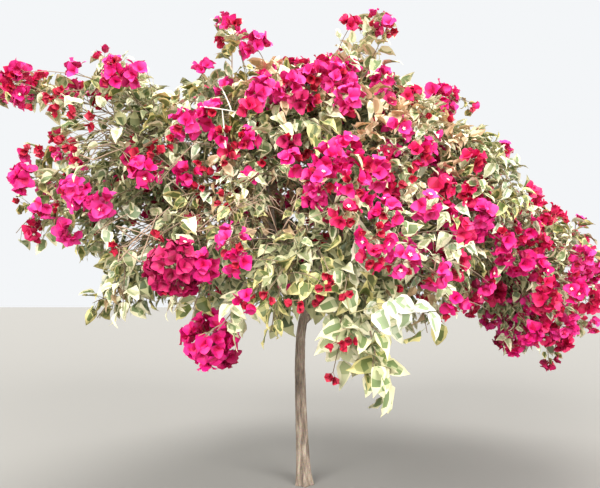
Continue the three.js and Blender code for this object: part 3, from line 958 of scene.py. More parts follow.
def tangled(count):
    """Pixels where twigs of a tangle start and end: starts spread evenly over an ellipse, as its
    middle plus a turned half width times the root of a chance, and ends at a length and a slant."""
    turn, out = between(0, 2 * np.pi, count), np.sqrt(rng.random(count))
    starts = TANGLE_MIDDLE + TANGLE_HALF * (out * np.stack([np.cos(turn), np.sin(turn)])).T
    slant = between(-TANGLE_SLANT, TANGLE_SLANT, count)
    length = between(*TANGLE_LENGTHS, count)
    return starts, starts + (length * np.stack([np.cos(slant), -np.sin(slant)])).T


rng = dice_for(9)
dead_carriers, dead_twigs = read_off(*ends_in(DEAD_TWIGS))
bare_carriers, bare_twigs = read_off(*ends_in(BARE_TWIGS))
tangle_carriers, tangle = read_off(*tangled(TANGLE_COUNT), AMONG_LEAVES, TANGLE_ARCH)
leafy_carriers, leafy_twigs = read_off(*ends_in(LEAFY_TWIGS))
print(f"{len(dead_twigs)} dead twigs, {len(bare_twigs)} bare ones, {len(tangle)} in the tangle")

# %% [markdown]
# ## Meshes from arrays
# All the shapes below come as whole arrays of vertices and of polygons. Writing them with foreach_set
# is much faster than a Python list of a million numbers, and a polygon may carry the number of its
# material, so that a leaf has a green middle and a cream edge in one mesh.

# %% Mesh pieces
ROOT = "root"


def make_piece(name, vertices, polygons, slot, replaced, materials, finishes=None):
    """One smooth object at the origin, from vertices and from blocks of polygons with the same number
    of corners. It rides on the plant's one body and stands for the solids it replaces."""
    vertices = vertices.reshape(-1, 3)
    corner_counts = np.concatenate([np.full(len(block), block.shape[1]) for block in polygons])
    corners = np.concatenate([block.ravel() for block in polygons])
    mesh = bpy.data.meshes.new(name)
    mesh.vertices.add(len(vertices))
    mesh.vertices.foreach_set("co", vertices.astype(np.float32).ravel())
    mesh.loops.add(len(corners))
    mesh.loops.foreach_set("vertex_index", corners.astype(np.int32))
    mesh.polygons.add(len(corner_counts))
    starts = np.cumsum(corner_counts) - corner_counts
    mesh.polygons.foreach_set("loop_start", starts.astype(np.int32))
    for material in materials:
        mesh.materials.append(material)
    if finishes is not None:
        mesh.polygons.foreach_set("material_index", finishes.astype(np.int32))
    mesh.polygons.foreach_set("use_smooth", np.ones(len(corner_counts), bool))
    mesh.update(calc_edges=True)
    mesh.validate()
    piece = bpy.data.objects.new(name, mesh)
    bpy.context.scene.collection.objects.link(piece)
    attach(piece, ROOT)
    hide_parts(*replaced)
    print(f"{name}: {(corner_counts - 2).sum()} triangles")


def repeated(template, vertices_each, count):
    """A template's polygons for as many copies as asked for, each with its own vertices."""
    offsets = np.arange(count)[:, None, None] * vertices_each
    return (template[None] + offsets).reshape(-1, template.shape[1])


# %% [markdown]
# ## Round limbs
# A twig is a tube that gets thinner along a bent line. A curve object with a bevel makes one such tube
# nicely, but here are thousands. So rings of corners are set along all the lines at once, and the
# walls between two rings follow from counting.

# %% Tubes
def tube_frames(centres):
    """Directions along and across middle lines: the way between neighbours, a direction level with
    the chord and square to it, and one square to both."""
    along = unit(np.gradient(centres, axis=1))
    chord = unit(centres[:, -1] - centres[:, 0])
    level = across_twigs(chord)[0][:, None]
    side = unit(level - along * (along * level).sum(-1, keepdims=True))
    return along, side, np.cross(along, side)


def tubes(centres, radii, count):
    """Round tubes: each ring's corners are its centre plus the radius times the cosine and the sine
    of an even turn, along the two directions across. One polygon closes each end."""
    number, rings = centres.shape[:2]
    along, side, over = tube_frames(centres)
    turn = np.arange(count) * 2 * np.pi / count
    ring = side[:, :, None] * np.cos(turn)[:, None] + over[:, :, None] * np.sin(turn)[:, None]
    vertices = centres[:, :, None] + ring * radii[..., None]
    corner, height = np.meshgrid(np.arange(count), np.arange(rings - 1))
    lower, upper = height * count, (height + 1) * count
    after = (corner + 1) % count
    walls = np.stack([lower + corner, lower + after, upper + after, upper + corner], -1)
    bottom = np.arange(count)[::-1][None]
    top = (np.arange(count) + (rings - 1) * count)[None]
    blocks = [walls.reshape(-1, 4), np.vstack([bottom, top])]
    return vertices, [repeated(block, rings * count, number) for block in blocks]


def twig_tubes(corners, radii, rings, count):
    """Tapering tubes along quadratic curves."""
    shares = np.linspace(0, 1, rings)
    centres = curve_points(corners[:, None], shares)
    thick, thin = (np.broadcast_to(radius, len(corners)) for radius in radii)
    widths = thick[:, None] + (thin - thick)[:, None] * shares
    return tubes(centres, np.repeat(widths[..., None], count, -1), count)


def joined(parts):
    """Several sets of vertices and polygons as one set, by the number of corners."""
    vertices, blocks, offset = [], {}, 0
    for points, polygons in parts:
        points = points.reshape(-1, 3)
        vertices.append(points)
        for block in polygons:
            blocks.setdefault(block.shape[1], []).append(block + offset)
        offset += len(points)
    return np.vstack(vertices), [np.vstack(found) for found in blocks.values()]


# %% [markdown]
# ## Materials
# Each finish is one Principled shader. A leaf, a bract or a twig is only a few pixels wide, so its
# colour is plain, and the life comes from many tints, dealt out by spray. Only the bark, which is seen
# close up, has a pattern of its own.

# %% Materials
def linear(colour):
    """An sRGB hex value turned to linear light: the standard curve with its short straight foot."""
    channels = np.array([int(colour[place : place + 2], 16) for place in (1, 3, 5)]) / 255
    curved = np.where(channels <= 0.04045, channels / 12.92, ((channels + 0.055) / 1.055) ** 2.4)
    return (*curved, 1.0)


def halfway(colour, other):
    """The hex value midway between two."""
    places = range(1, 7, 2)
    sums = [int(colour[place : place + 2], 16) + int(other[place : place + 2], 16) for place in places]
    return "#" + "".join(f"{total // 2:02x}" for total in sums)


def add(tree, kind, settings=None, links=None):
    """One node, with values for its inputs or properties, and links from other nodes' outputs."""
    node = tree.nodes.new(kind)
    for key, value in (settings or {}).items():
        if key in node.inputs:
            node.inputs[key].default_value = value
        else:
            setattr(node, key, value)
    for key, output in (links or {}).items():
        tree.links.new(output, node.inputs[key])
    return node


def finish(name, colour, roughness):
    """A plain Principled finish."""
    material = bpy.data.materials.new(name)
    material.use_nodes = True
    shader = material.node_tree.nodes["Principled BSDF"]
    shader.inputs["Base Color"].default_value = linear(colour)
    shader.inputs["Roughness"].default_value = roughness
    return material


# %% [markdown]
# ## Bark
# The bark of an old bougainvillea is grey-brown cork that has split as the trunk grew. A photograph
# wrapped round it would be quick, but shows a seam and blurs close up. Noise that is drawn out along
# the trunk gives dark furrows and pale worn ridges at a real size, and the same noise the fine relief.

# %% Bark
FISSURE_MM = 5
FLECK_MM = 1.6
DRAWN_OUT = (1, 1, 0.16)
STREAKS = {"Detail": 6, "Roughness": 0.62, "Distortion": 0.3}
FLECKS = {"Detail": 3}
OVERLAY = {"data_type": "RGBA", "blend_type": "OVERLAY", "Factor": 0.45}
RELIEF = {"Strength": 0.7, "Distance": 0.0008}
# From furrows to ridges: each colour's place on the ramp, and the colour.
BARK_RAMP = ((0.30, "#3d332c"), (0.50, "#7a6a5b"), (0.72, "#ab9d8b"))


def patches_of(size_mm):
    """The noise scale, in waves to a metre, that gives patches of a size: two of them to a wave."""
    return {"Scale": 1000 / size_mm / 2}


def fissured_bark():
    """Old bark, grown and split: brown with pale worn ridges and dark furrows, all drawn out along
    the trunk. One stretched noise gives the streaks, a finer one the flecks. It looks dry and rough,
    and never shines."""
    material = finish("Fissured bougainvillea bark", "#7a6558", 0.9)
    tree = material.node_tree
    shader = tree.nodes["Principled BSDF"]
    place = add(tree, "ShaderNodeTexCoord").outputs["Object"]
    drawn = add(tree, "ShaderNodeMapping", {"Scale": DRAWN_OUT}, {"Vector": place}).outputs[0]
    streaks = add(tree, "ShaderNodeTexNoise", patches_of(FISSURE_MM) | STREAKS, {"Vector": drawn})
    flecks = add(tree, "ShaderNodeTexNoise", patches_of(FLECK_MM) | FLECKS, {"Vector": place})
    ramp = add(tree, "ShaderNodeValToRGB", links={"Fac": streaks.outputs["Fac"]})
    stops = ramp.color_ramp.elements
    stops.new(BARK_RAMP[1][0])
    for stop, (position, colour) in zip(stops, BARK_RAMP):
        stop.position = position
        stop.color = linear(colour)
    colours = {"A": ramp.outputs["Color"], "B": flecks.outputs["Color"]}
    mixed = add(tree, "ShaderNodeMix", OVERLAY, colours)
    tree.links.new(mixed.outputs["Result"], shader.inputs["Base Color"])
    relief = add(tree, "ShaderNodeBump", RELIEF, {"Height": streaks.outputs["Fac"]})
    tree.links.new(relief.outputs["Normal"], shader.inputs["Normal"])
    return material


trunk_bark = fissured_bark()
print("bark ready")

# %% [markdown]
# ## The trunk and the boughs
# The trunk's bark is split into long upright ridges a few millimetres wide, which wander, join and end.
# A sum of waves round the trunk, whose phases drift with height, gives that. Taking the sharp side of
# each wave makes narrow furrows between broad ridges. Younger boughs are smoother, with a swelling at
# each old leaf joint.

# %% Trunk and boughs
TRUNK_SIDES = 72
TRUNK_RINGS = 240
TRUNK_GROUND_AT = 1 / 6
RIDGE_DEPTH = 0.0011
# For each wave: its furrows round the trunk, how fast they drift with height, and its phase.
RIDGE_WAVES = ((9, 21.0, 0.9), (14, 34.0, 1.7), (23, 55.0, 2.9))
FIRST_DRIFT, SECOND_DRIFT, SECOND_RATE = 1.3, 0.9, 0.37
ROOT_RIDGES = 5
ROOT_RIDGE_WIDTH = 0.13
ROOT_RIDGE_SHIFT = 1.1
BOUGH_SIDES = 12
BOUGH_RINGS = 44
COLLAR_WIDTH = 0.4
COLLAR_LENGTH = 0.022
JOINT_SPACING = 0.030
JOINT_SWELLING = 0.09
JOINT_SHARPNESS = 0.25
BOUGH_RIDGE_DEPTH = 0.05


def bark_ridges(turn, height):
    """Relief from -1 to 1: for each wave, one minus twice the absolute sine of its turns round the
    limb, with a phase that drifts as two slow sines of height, averaged over all the waves."""
    total = np.zeros(np.broadcast(turn, height).shape)
    for waves, rate, phase in RIDGE_WAVES:
        drift = FIRST_DRIFT * np.sin(height * rate + phase)
        drift = drift + SECOND_DRIFT * np.sin(height * rate * SECOND_RATE + 2 * phase)
        total += 1 - 2 * np.abs(np.sin(turn * waves / 2 + drift))
    return total / len(RIDGE_WAVES)


def trunk_surface():
    """The trunk as one tube: its radius by height, times low ribs where roots spread, plus ridges."""
    shares = np.linspace(TRUNK_GROUND_AT, 1, TRUNK_RINGS)
    centres = trunk_points(shares)[None]
    height = centres[0, :, 2][:, None]
    turn = (np.arange(TRUNK_SIDES) * 2 * np.pi / TRUNK_SIDES)[None]
    flare = np.exp(-height / FLARE_HEIGHT)
    ribs = 1 + ROOT_RIDGE_WIDTH * flare * np.cos(ROOT_RIDGES * turn + ROOT_RIDGE_SHIFT * np.sin(turn))
    widths = trunk_radius(height) * ribs + RIDGE_DEPTH * bark_ridges(turn, height)
    vertices, polygons = tubes(centres, widths[None], TRUNK_SIDES)
    vertices[0, 0, :, 2] = 0
    return vertices, polygons


def bough_surfaces():
    """All the boughs: even tapers with a collar at the base, a swelling at each joint, and shallow
    ridges."""
    corners = np.array([boughs[mass]["corners"] for mass in sorted(boughs)])
    radii = np.array([boughs[mass]["radii"] for mass in sorted(boughs)])
    shares = np.linspace(0, 1, BOUGH_RINGS)
    centres = curve_points(corners[:, None], shares)
    along = lengths_of(corners)[:, None] * shares
    even = radii[:, :1] + (radii[:, 1:] - radii[:, :1]) * shares
    collar = 1 + COLLAR_WIDTH * np.exp(-((along / COLLAR_LENGTH) ** 2))
    off_joint = np.sin(np.pi * along / JOINT_SPACING) / JOINT_SHARPNESS
    joints = 1 + JOINT_SWELLING * np.exp(-(off_joint**2))
    turn = np.arange(BOUGH_SIDES) * 2 * np.pi / BOUGH_SIDES
    ridges = 1 + BOUGH_RIDGE_DEPTH * bark_ridges(turn, along[..., None])
    return tubes(centres, (even * collar * joints)[..., None] * ridges, BOUGH_SIDES)


make_piece("trunk_bark", *trunk_surface(), "bark", ["trunk"], [trunk_bark])
make_piece("boughs_bark", *bough_surfaces(), "bark", bough_nodes, [trunk_bark])

# %% [markdown]
# ## Twigs
# Twigs carry the colour of their age: grey-tan wood inside the crown, paler and greener towards the
# tips. The thicker ones have four to six sides, the finest three, because they are a pixel wide.
# Twigs of one finish are joined into one mesh, which is far lighter than an object for each.

# %% Twig meshes
# Bark in its second or third year: dull and grey-tan, so that old twigs sink into the shade.
WOODY_TWIG = finish("Grey-tan twig bark", "#8f7a63", 0.8)
# Skin of this year's growth: greener and a little waxy, so that tips look alive.
YOUNG_TWIG = finish("Green-tan young twig", "#a9a172", 0.6)
# Dead wood that lost its bark and bleached in the sun: it catches the eye as nearly white lines.
DEAD_TWIG = finish("Weathered dead twig without bark", "#e4ddd0", 0.75)
# Thin bark of twigs that dropped their leaves: warm and matt, a little lighter than the shade.
BARE_TWIG = finish("Bare tan twig bark", "#a98d76", 0.75)
# Radii at the foot and at the tip, in metres.
SHOOT_TIP_RADIUS = 0.0012
DEAD_RADII = (0.0019, 0.0012)
BARE_RADII = (0.0014, 0.0008)
TANGLE_RADII = (0.0009, 0.0005)
SIDE_RADII = (0.0017, 0.0010)
FINE_RADII = (0.0011, 0.0006)

bough_ends = np.array([boughs[mass]["radii"][1] for mass in range(MASS_COUNT)])
# For each piece: its material, and for each kind of twig in it the twigs, their radii, and how many
# rings and sides their tubes have.
TWIG_PIECES = {
    "woody": (WOODY_TWIG, [
        (stems, (bough_ends, STEM_TIP_RADIUS), 12, 6),
        (shoots, (SHOOT_RADII[0], SHOOT_TIP_RADIUS), 14, 5),
        (filling, (FILLING_RADIUS, SHOOT_TIP_RADIUS), 10, 4),
        (sides, SIDE_RADII, 5, 3),
    ]),
    "young": (YOUNG_TWIG, [
        (fines, FINE_RADII, 3, 3),
        (leafy_carriers, SIDE_RADII, 4, 4),
        (leafy_twigs, (SIDE_RADII[1], FINE_RADII[1]), 6, 4),
    ]),
    "dead": (DEAD_TWIG, [
        (dead_carriers, (DEAD_RADII[0], DEAD_RADII[0]), 4, 5),
        (dead_twigs, DEAD_RADII, 8, 6),
    ]),
    "bare": (BARE_TWIG, [
        (bare_carriers, (BARE_RADII[0], BARE_RADII[0]), 4, 4),
        (bare_twigs, BARE_RADII, 8, 4),
        (tangle_carriers, (TANGLE_RADII[0], TANGLE_RADII[0]), 2, 3),
        (tangle, TANGLE_RADII, 5, 3),
    ]),
}
for name, (material, kinds) in TWIG_PIECES.items():
    twigs = joined([twig_tubes(*kind) for kind in kinds])
    make_piece(f"twigs_{name}", *twigs, "bark", foliage_nodes, [material])

# %% [markdown]
# ## Where the blossom is
# Blossom crowds in drifts: over the whole right side and across the top. Painting it on by hand would
# be truer to one view only. Instead a drift is a place with a size, and blossom thins out from it as a
# bell curve, on the back as well. Some places are leafy, and hold hardly any.

# %% Blossom places
# For each drift and each leafy place: its middle and its size, in metres.
BLOSSOM_EVENLY = 0.05
BLOSSOM_DRIFTS = {
    "right": ((0.760, 0.000, 0.540), 0.300),
    "right_front": ((0.430, -0.240, 0.680), 0.120),
    "right_shoulder": ((0.330, -0.300, 0.840), 0.105),
    "right_back": ((0.600, 0.450, 0.800), 0.260),
    "top": ((0.050, -0.120, 1.180), 0.190),
    "top_back": ((0.100, 0.350, 1.100), 0.220),
    "middle": ((0.120, -0.480, 0.780), 0.090),
    "left": ((-0.600, -0.280, 0.760), 0.120),
    "left_tips": ((-0.760, -0.120, 1.150), 0.150),
    "back": ((-0.080, 0.560, 0.880), 0.240),
    "back_left": ((-0.560, 0.250, 0.950), 0.180),
}
LEAFY_PLACES = {
    "left_shoulder": ((-0.400, -0.300, 1.020), 0.150),
    "left_hem": ((-0.380, -0.400, 0.560), 0.140),
    "front_hem": ((0.120, -0.560, 0.500), 0.170),
    "heart": ((-0.080, -0.520, 0.700), 0.170),
    "heart_low": ((0.010, -0.560, 0.620), 0.080),
    "right_gap": ((0.330, -0.420, 0.600), 0.080),
    "right_gap_far": ((0.430, -0.320, 0.590), 0.090),
    "right_slope": ((0.440, -0.180, 0.920), 0.180),
    "right_crest": ((0.240, -0.200, 1.120), 0.080),
}
LEAFY_SHARE = 0.95


def blossom_at(points):
    """How thick the blossom is, from 0 to 1: an even share, and over it the strongest drift, less
    what the leafy places take."""
    drifts = bell(points, *columns_of(BLOSSOM_DRIFTS)).max(-1)
    leafy = bell(points, *columns_of(LEAFY_PLACES)).max(-1)
    return (BLOSSOM_EVENLY + (1 - BLOSSOM_EVENLY) * drifts) * (1 - LEAFY_SHARE * leafy)


print(f"{len(BLOSSOM_DRIFTS)} drifts of blossom, {len(LEAFY_PLACES)} leafy places")

# %% [markdown]
# ## Which twigs flower
# A bougainvillea flowers at the ends of its twigs, never inside the crown. So each twig draws a number:
# side twigs bear clusters, the finest ones a few flowers or buds, the tips of the canes as many as the
# photograph shows, and the twigs of the posies their own counts.

# %% Which twigs flower
# The share of twigs that flowers where the blossom is thickest, the fewest and the most flowers on
# one, and how far out its tip has to be.
SIDE_BLOSSOM = (0.72, 4, 9, 0.60)
FINE_BLOSSOM = (0.38, 1, 4, 0.66)
# For each cane: the most flowers on a twig near its tip. The fewest are less by the spread.
CANE_FLOWERS = {
    "left_high": 5,
    "left_low": 3,
    "left_top": 3,
    "top_left": 5,
    "top_right": 4,
    "right_high": 4,
    "right_tip": 6,
    "right_far": 6,
    "right_low": 6,
    "right_skirt": 5,
}
CANE_SPREAD = 3
CANE_TIP_FROM = 0.72
MOST_BUDS = 3
STRAY_BUD_SHARE = 0.05
# For each ellipse: its share is that of the finest twigs without flowers that bear buds.
BUD_PLACES = {
    "middle": (236, 172, 84, 56, 0.30),
    "heart": (300, 225, 44, 36, 0.20),
    "hem": (330, 300, 56, 34, 0.16),
    "right_gap": (445, 288, 40, 36, 0.30),
    "left_canes": (80, 140, 60, 60, 0.14),
}


def dealt_flowers(tips, share, fewest, most, outward):
    """Numbers of flowers for twigs: where chance is under the blossom's share and the tip is far
    enough out, a number from fewest to most, and otherwise none."""
    flowering = rng.random(len(tips)) < share * blossom_at(tips)
    numbers = rng.integers(fewest, most + 1, len(tips))
    return np.where(flowering & (depth_of(tips) >= outward), numbers, 0)


rng = dice_for(3)
fine_tips = fines[:, 2]
side_flowers = dealt_flowers(sides[:, 2], *SIDE_BLOSSOM)
fine_flowers = dealt_flowers(fine_tips, *FINE_BLOSSOM)
bud_share = np.maximum(STRAY_BUD_SHARE, share_in(fine_tips, BUD_PLACES))
fine_is_young = (fine_flowers == 0) & (rng.random(len(fines)) < bud_share)
fine_flowers[fine_is_young] = rng.integers(1, MOST_BUDS + 1, fine_is_young.sum())
cane_names = list(CANES)
for name, most in CANE_FLOWERS.items():
    at_tip = side_on_cane & (side_owner == cane_names.index(name)) & (side_share > CANE_TIP_FROM)
    fewest = max(most - CANE_SPREAD, 0)
    side_flowers[at_tip] = rng.integers(fewest, most + 1, at_tip.sum())
side_flowers[posy_twigs] = posy_counts
print(f"{side_flowers.sum() + fine_flowers.sum()} flowers on {(side_flowers > 0).sum()} side twigs")

# %% [markdown]
# ## Leaves
# A leaf is egg-shaped with a drawn-out tip, folded along its midrib, curled over and a little wavy. It
# hangs from a short stalk, with its face up and out to the light. A picture of a leaf on a flat card
# would need an image and a cut-out outline; a few faces in the leaf's own outline need neither. The
# middle is sage green and the edge cream, and the border between them wanders, so that some leaves are
# nearly white and some nearly green.

# %% Leaf shape
LEAF_STATIONS = np.array([0.08, 0.26, 0.50, 0.72, 0.88])
SHADE_LEAF_STATIONS = np.array([0.14, 0.50, 0.82])
LEAF_COLUMNS = 5
MIDDLE, EDGE, BLOTCH = 0, 1, 2
# The shares of cells that are blotches, in the middle and at the edge.
BLOTCH_SHARES = np.array([0.30, 0.14])
FAN_FINISH = np.array([EDGE, MIDDLE, MIDDLE, EDGE, EDGE, EDGE, EDGE, EDGE])
BORDER_WANDER = 0.28
BORDER_LIMITS = (0.12, 0.94)
LEAF_FOOT_POWER, LEAF_WIDTH_SCALE = 0.42, 2.36
RIPPLE_ALONG, RIPPLE_ACROSS = 9, 2
TIP_CURL = 1.25


def leaf_width(share):
    """Half the width of a leaf, as a share of the widest place: the share of its length to a small
    power, which rounds the foot, times what is left of the length, scaled."""
    return LEAF_WIDTH_SCALE * share**LEAF_FOOT_POWER * (1 - share)


def blade_polygons(stations, columns):
    """A blade's polygons: a fan from its foot, a grid between its stations, and a fan to its tip.
    Vertices are the grid's, station by station, then the foot and the tip."""
    foot, tip = stations * columns, stations * columns + 1
    column, station = np.meshgrid(np.arange(columns - 1), np.arange(stations - 1))
    first = station * columns + column
    grid = np.stack([first, first + 1, first + columns + 1, first + columns], -1).reshape(-1, 4)
    edge = np.arange(columns - 1)
    foot_fan = np.stack([np.full(columns - 1, foot), edge + 1, edge], -1)
    last = (stations - 1) * columns
    tip_fan = np.stack([last + edge, last + edge + 1, np.full(columns - 1, tip)], -1)
    return grid, np.vstack([foot_fan, tip_fan])


def over_grid(values):
    """One value for each leaf, ready to meet its stations and columns."""
    return values[:, None, None]


def leaf_points(leaf, stations):
    """Leaves as points at stations of their length. Across: edge, border, midrib, border and edge, at
    each station's width, and a bend that grows with the square of the way. Up: the fold and the
    waves, less the curl, which grows with the square of the way too."""
    count = len(leaf["root"])
    share = stations[None, :, None]
    wander = between(-BORDER_WANDER, BORDER_WANDER, (count, len(stations), 2))
    border = np.clip(leaf["border"][:, None] + wander, *BORDER_LIMITS)
    edge, midrib = np.ones((count, len(stations))), np.zeros((count, len(stations)))
    column = np.stack([-edge, -border[..., 0], midrib, border[..., 1], edge], -1)
    width = over_grid(leaf["width"]) * leaf_width(share) * column
    ripple = np.sin(RIPPLE_ALONG * share + over_grid(leaf["phase"]) + RIPPLE_ACROSS * column)
    lift = over_grid(leaf["fold"]) * np.abs(width) + over_grid(leaf["wave"]) * column**2 * ripple
    length = leaf["length"]
    bend, curl = leaf["bend"] * length, leaf["curl"] * length
    across = width + over_grid(bend) * share**2
    up = lift - over_grid(curl) * share**2
    forward = over_grid(length) * share * np.ones_like(width)
    side, along, face = (leaf[key][:, None, None] for key in ("side", "along", "face"))
    root = leaf["root"][:, None, None]
    grid = root + side * across[..., None] + along * forward[..., None] + face * up[..., None]
    tip = leaf["root"] + leaf["side"] * bend[:, None] + leaf["along"] * length[:, None]
    tip = tip - leaf["face"] * (TIP_CURL * curl)[:, None]
    return np.concatenate([grid.reshape(count, -1, 3), leaf["root"][:, None], tip[:, None]], axis=1)


def edged_leaves(leaf, stations):
    """Leaves as points, polygons and the finish of each polygon. The outer two of the four strips
    are edge, and so are the last cells towards the tip. By chance some cells of both are blotches,
    where the green thins out."""
    points = leaf_points(leaf, stations)
    grid, fans = blade_polygons(len(stations), LEAF_COLUMNS)
    row, strip = np.divmod(np.arange(len(grid)), LEAF_COLUMNS - 1)
    at_edge = np.isin(strip, (0, LEAF_COLUMNS - 2)) | (row == len(stations) - 2)
    grid_finish = np.where(at_edge, EDGE, MIDDLE)
    polygons = [repeated(block, points.shape[1], len(points)) for block in (grid, fans)]
    finishes = np.concatenate([np.tile(grid_finish, len(points)), np.tile(FAN_FINISH, len(points))])
    is_blotch = rng.random(len(finishes)) < BLOTCH_SHARES[finishes]
    return points, polygons, np.where(is_blotch, BLOTCH, finishes)


print(f"{len(LEAF_STATIONS) * LEAF_COLUMNS + 2} vertices to a leaf")

# %% [markdown]
# ## Leaves along the twigs
# Leaves leave a twig one by one, each a part of a turn from the last, and twist on their stalks until
# their faces meet the light. Scattering them on a surface would make a shell of leaves with nothing
# to hang from. Here each has a place on a twig, and the twig's own direction decides where it points.

# %% Leaf places
SHOOT_LEAF_SPACING = 0.020
SIDE_LEAF_SPACING = 0.0170
LEAF_LENGTHS = (0.030, 0.053)
LEAF_HALF_WIDTH = 0.33
STALK_LENGTHS = (0.006, 0.014)
INNER_FROM, INNER_IS_SMALLER = 0.72, 0.88
RIGHT_FROM, RIGHT_IS_SMALLER = 0.42, 0.80
HEM_PLACE, HEM_SIZE = np.array([0.160, -0.500, 0.440]), 0.150
HEM_IS_LARGER = 1.25
LONGEST_LEAF_PIXELS = 22
LONGEST_HEM_LEAF_PIXELS = 26
# For each ellipse: its share is what leaves lack in length.
SMALLER_PLACES = {
    "middle": (252, 190, 84, 56, 0.28),
    "right_slope": (410, 160, 60, 60, 0.20),
    "left": (110, 110, 70, 50, 0.12),
}
LEAF_DROOPS, HEM_DROOPS = (-0.25, 0.85), (0.55, 1.00)
HEM_LEAF_SPACING = 0.019
PALE_LIT_SPRAY, HANGING_SPRAY = -1000, -1001
SHOOT_LEAVES_FROM, SIDE_LEAVES_FROM, FINE_LEAVES_FROM = 0.4, 0.2, 0.3
SIDE_LEAVES_TO, FINE_LEAVES_TO = 0.72, 0.7
TURN_PER_TWIG = 1.7
STALK_ACROSS, STALK_ALONG, STALK_UP = 0.8, 0.6, 0.15
BLADE_ACROSS, BLADE_ALONG, BLADE_OUTWARD, BLADE_SCATTER = 0.8, 0.45, 0.35, 0.25
FACE_UP, HEM_FACE_UP, FACE_UP_AND_OUT, FACE_SCATTER = 0.95, 0.35, 1.5, 0.45
# The least and the most of each: the width is a share of the usual one, the fold a slope, the curl,
# the bend and the wave are shares of the length, and the phase is an angle.
LEAF_VARIES = {
    "width": (0.85, 1.20),
    "fold": (0.10, 0.65),
    "curl": (0.05, 0.55),
    "bend": (-0.22, 0.22),
    "wave": (0.02, 0.11),
    "phase": (0, 2 * np.pi),
}


def distance_to_camera(points):
    """How far points are from the camera."""
    return np.linalg.norm(points - CAMERA_PLACE, axis=-1)


def leaf_places(twigs, leafy_from, leafy_to, spacing):
    """Places for leaves along twigs, each a golden turn from the last."""
    counts = np.round(lengths_of(twigs) * (leafy_to - leafy_from) / spacing).astype(int).clip(1)
    owner, order = numbered(counts)
    share = leafy_from + (leafy_to[owner] - leafy_from) * (order + 0.5) / counts[owner]
    return owner, order, share


def hang_leaves(twigs, leafy_from, leafy_to, spacing, spray, droops=LEAF_DROOPS):
    """Leaves along twigs: the stalk leads across and along the twig, and the blade leaves it with its
    face up and out to the light and hangs more or less."""
    owner, order, share = leaf_places(twigs, leafy_from, leafy_to, spacing)
    count = len(owner)
    start, along = curve_points(twigs[owner], share), curve_directions(twigs[owner], share)
    sideways = around(along, order * GOLDEN_TURN + owner * TURN_PER_TWIG)
    outward = outward_from_heart(start)
    stalk = unit(STALK_ACROSS * sideways + STALK_ALONG * along + STALK_UP * UP)
    root = start + stalk * between(*STALK_LENGTHS, count)[:, None]
    droop = between(*droops, count)[:, None]
    scatter = BLADE_SCATTER * rng.normal(size=(count, 3))
    heading = BLADE_ACROSS * sideways + BLADE_ALONG * along + BLADE_OUTWARD * outward
    heading = unit(heading - droop * UP + scatter)
    in_hem = np.abs(start - HEM_PLACE).max(-1) < HEM_SIZE
    upright = np.where(in_hem, HEM_FACE_UP, FACE_UP)[:, None]
    scatter = FACE_SCATTER * rng.normal(size=(count, 3))
    face = upright * UP + (FACE_UP_AND_OUT - upright) * outward + scatter
    face = unit(face - heading * (face * heading).sum(-1, keepdims=True))
    depth = depth_of(start)
    length = between(*LEAF_LENGTHS, count)
    length *= np.where(start[:, 0] > RIGHT_FROM, RIGHT_IS_SMALLER, 1)
    length *= np.where(in_hem, HEM_IS_LARGER, 1)
    length *= np.where(depth < INNER_FROM, INNER_IS_SMALLER, 1)
    length *= 1 - np.where(start[:, 1] < HEART[1], share_in(start, SMALLER_PLACES), 0)
    longest = np.where(in_hem, LONGEST_HEM_LEAF_PIXELS, LONGEST_LEAF_PIXELS)
    length = np.minimum(length, longest * distance_to_camera(start) / FOCAL_PIXELS)
    shape = varied(LEAF_VARIES, count)
    shape["width"] = length * LEAF_HALF_WIDTH * shape["width"]
    shape["wave"] = length * shape["wave"]
    return shape | {
        "start": start,
        "root": root,
        "along": heading,
        "side": np.cross(heading, face),
        "face": face,
        "length": length,
        "depth": depth,
        "spray": spray[owner],
    }


def only(things, keep):
    """The same arrays with only those kept."""
    return {key: values[keep] for key, values in things.items()}


def together(*groups):
    """Several sets of arrays as one."""
    return {key: np.concatenate([group[key] for group in groups]) for key in groups[0]}


rng = dice_for(11)
hem_sprays = np.array([PALE_LIT_SPRAY, PALE_LIT_SPRAY, HANGING_SPRAY])
hem_to = np.ones(len(leafy_twigs))
hem_leaves = hang_leaves(leafy_twigs, 0.0, hem_to, HEM_LEAF_SPACING, hem_sprays, HEM_DROOPS)
rng = dice_for(4)
leafy_shoots = np.vstack([shoots, filling])
shoot_sprays, side_sprays = -1 - np.arange(len(leafy_shoots)), np.arange(len(sides))
shoot_to = np.ones(len(leafy_shoots))
side_to = np.where(side_flowers > 0, SIDE_LEAVES_TO, 1.0)
fine_to = np.where(fine_flowers > 0, FINE_LEAVES_TO, 1.0)
leaves = together(
    hang_leaves(leafy_shoots, SHOOT_LEAVES_FROM, shoot_to, SHOOT_LEAF_SPACING, shoot_sprays),
    hang_leaves(sides, SIDE_LEAVES_FROM, side_to, SIDE_LEAF_SPACING, side_sprays),
    hang_leaves(fines, FINE_LEAVES_FROM, fine_to, SIDE_LEAF_SPACING, fine_owner),
    hem_leaves,
)
print(f"{len(leaves['root'])} leaves hung, {len(hem_leaves['root'])} of them over the hem")

# %% [markdown]
# ## Bare spots
# Deep in the crown leaves are few, and in three spots at the front even the outside is bare enough to
# see the twigs. A leaf is left out by chance there, and one that would hang over a posy's middle too.

# %% Bare spots
# For each spot: its middle and its size, in metres, and the share of leaves missing.
BARE_SPOTS = {
    "front_middle": ((-0.040, -0.520, 0.670), 0.110, 0.50),
    "front_left": ((-0.270, -0.440, 0.690), 0.110, 0.55),
    "right_gap": ((0.360, -0.360, 0.600), 0.080, 0.45),
}
INNER_DEPTH, INNER_SHARE = 0.52, 0.25
POSY_ROOM = 0.011
POSY_MARGIN = 0.020
POSY_RIM_POWER = 4
HIDING_SHARE = 0.7

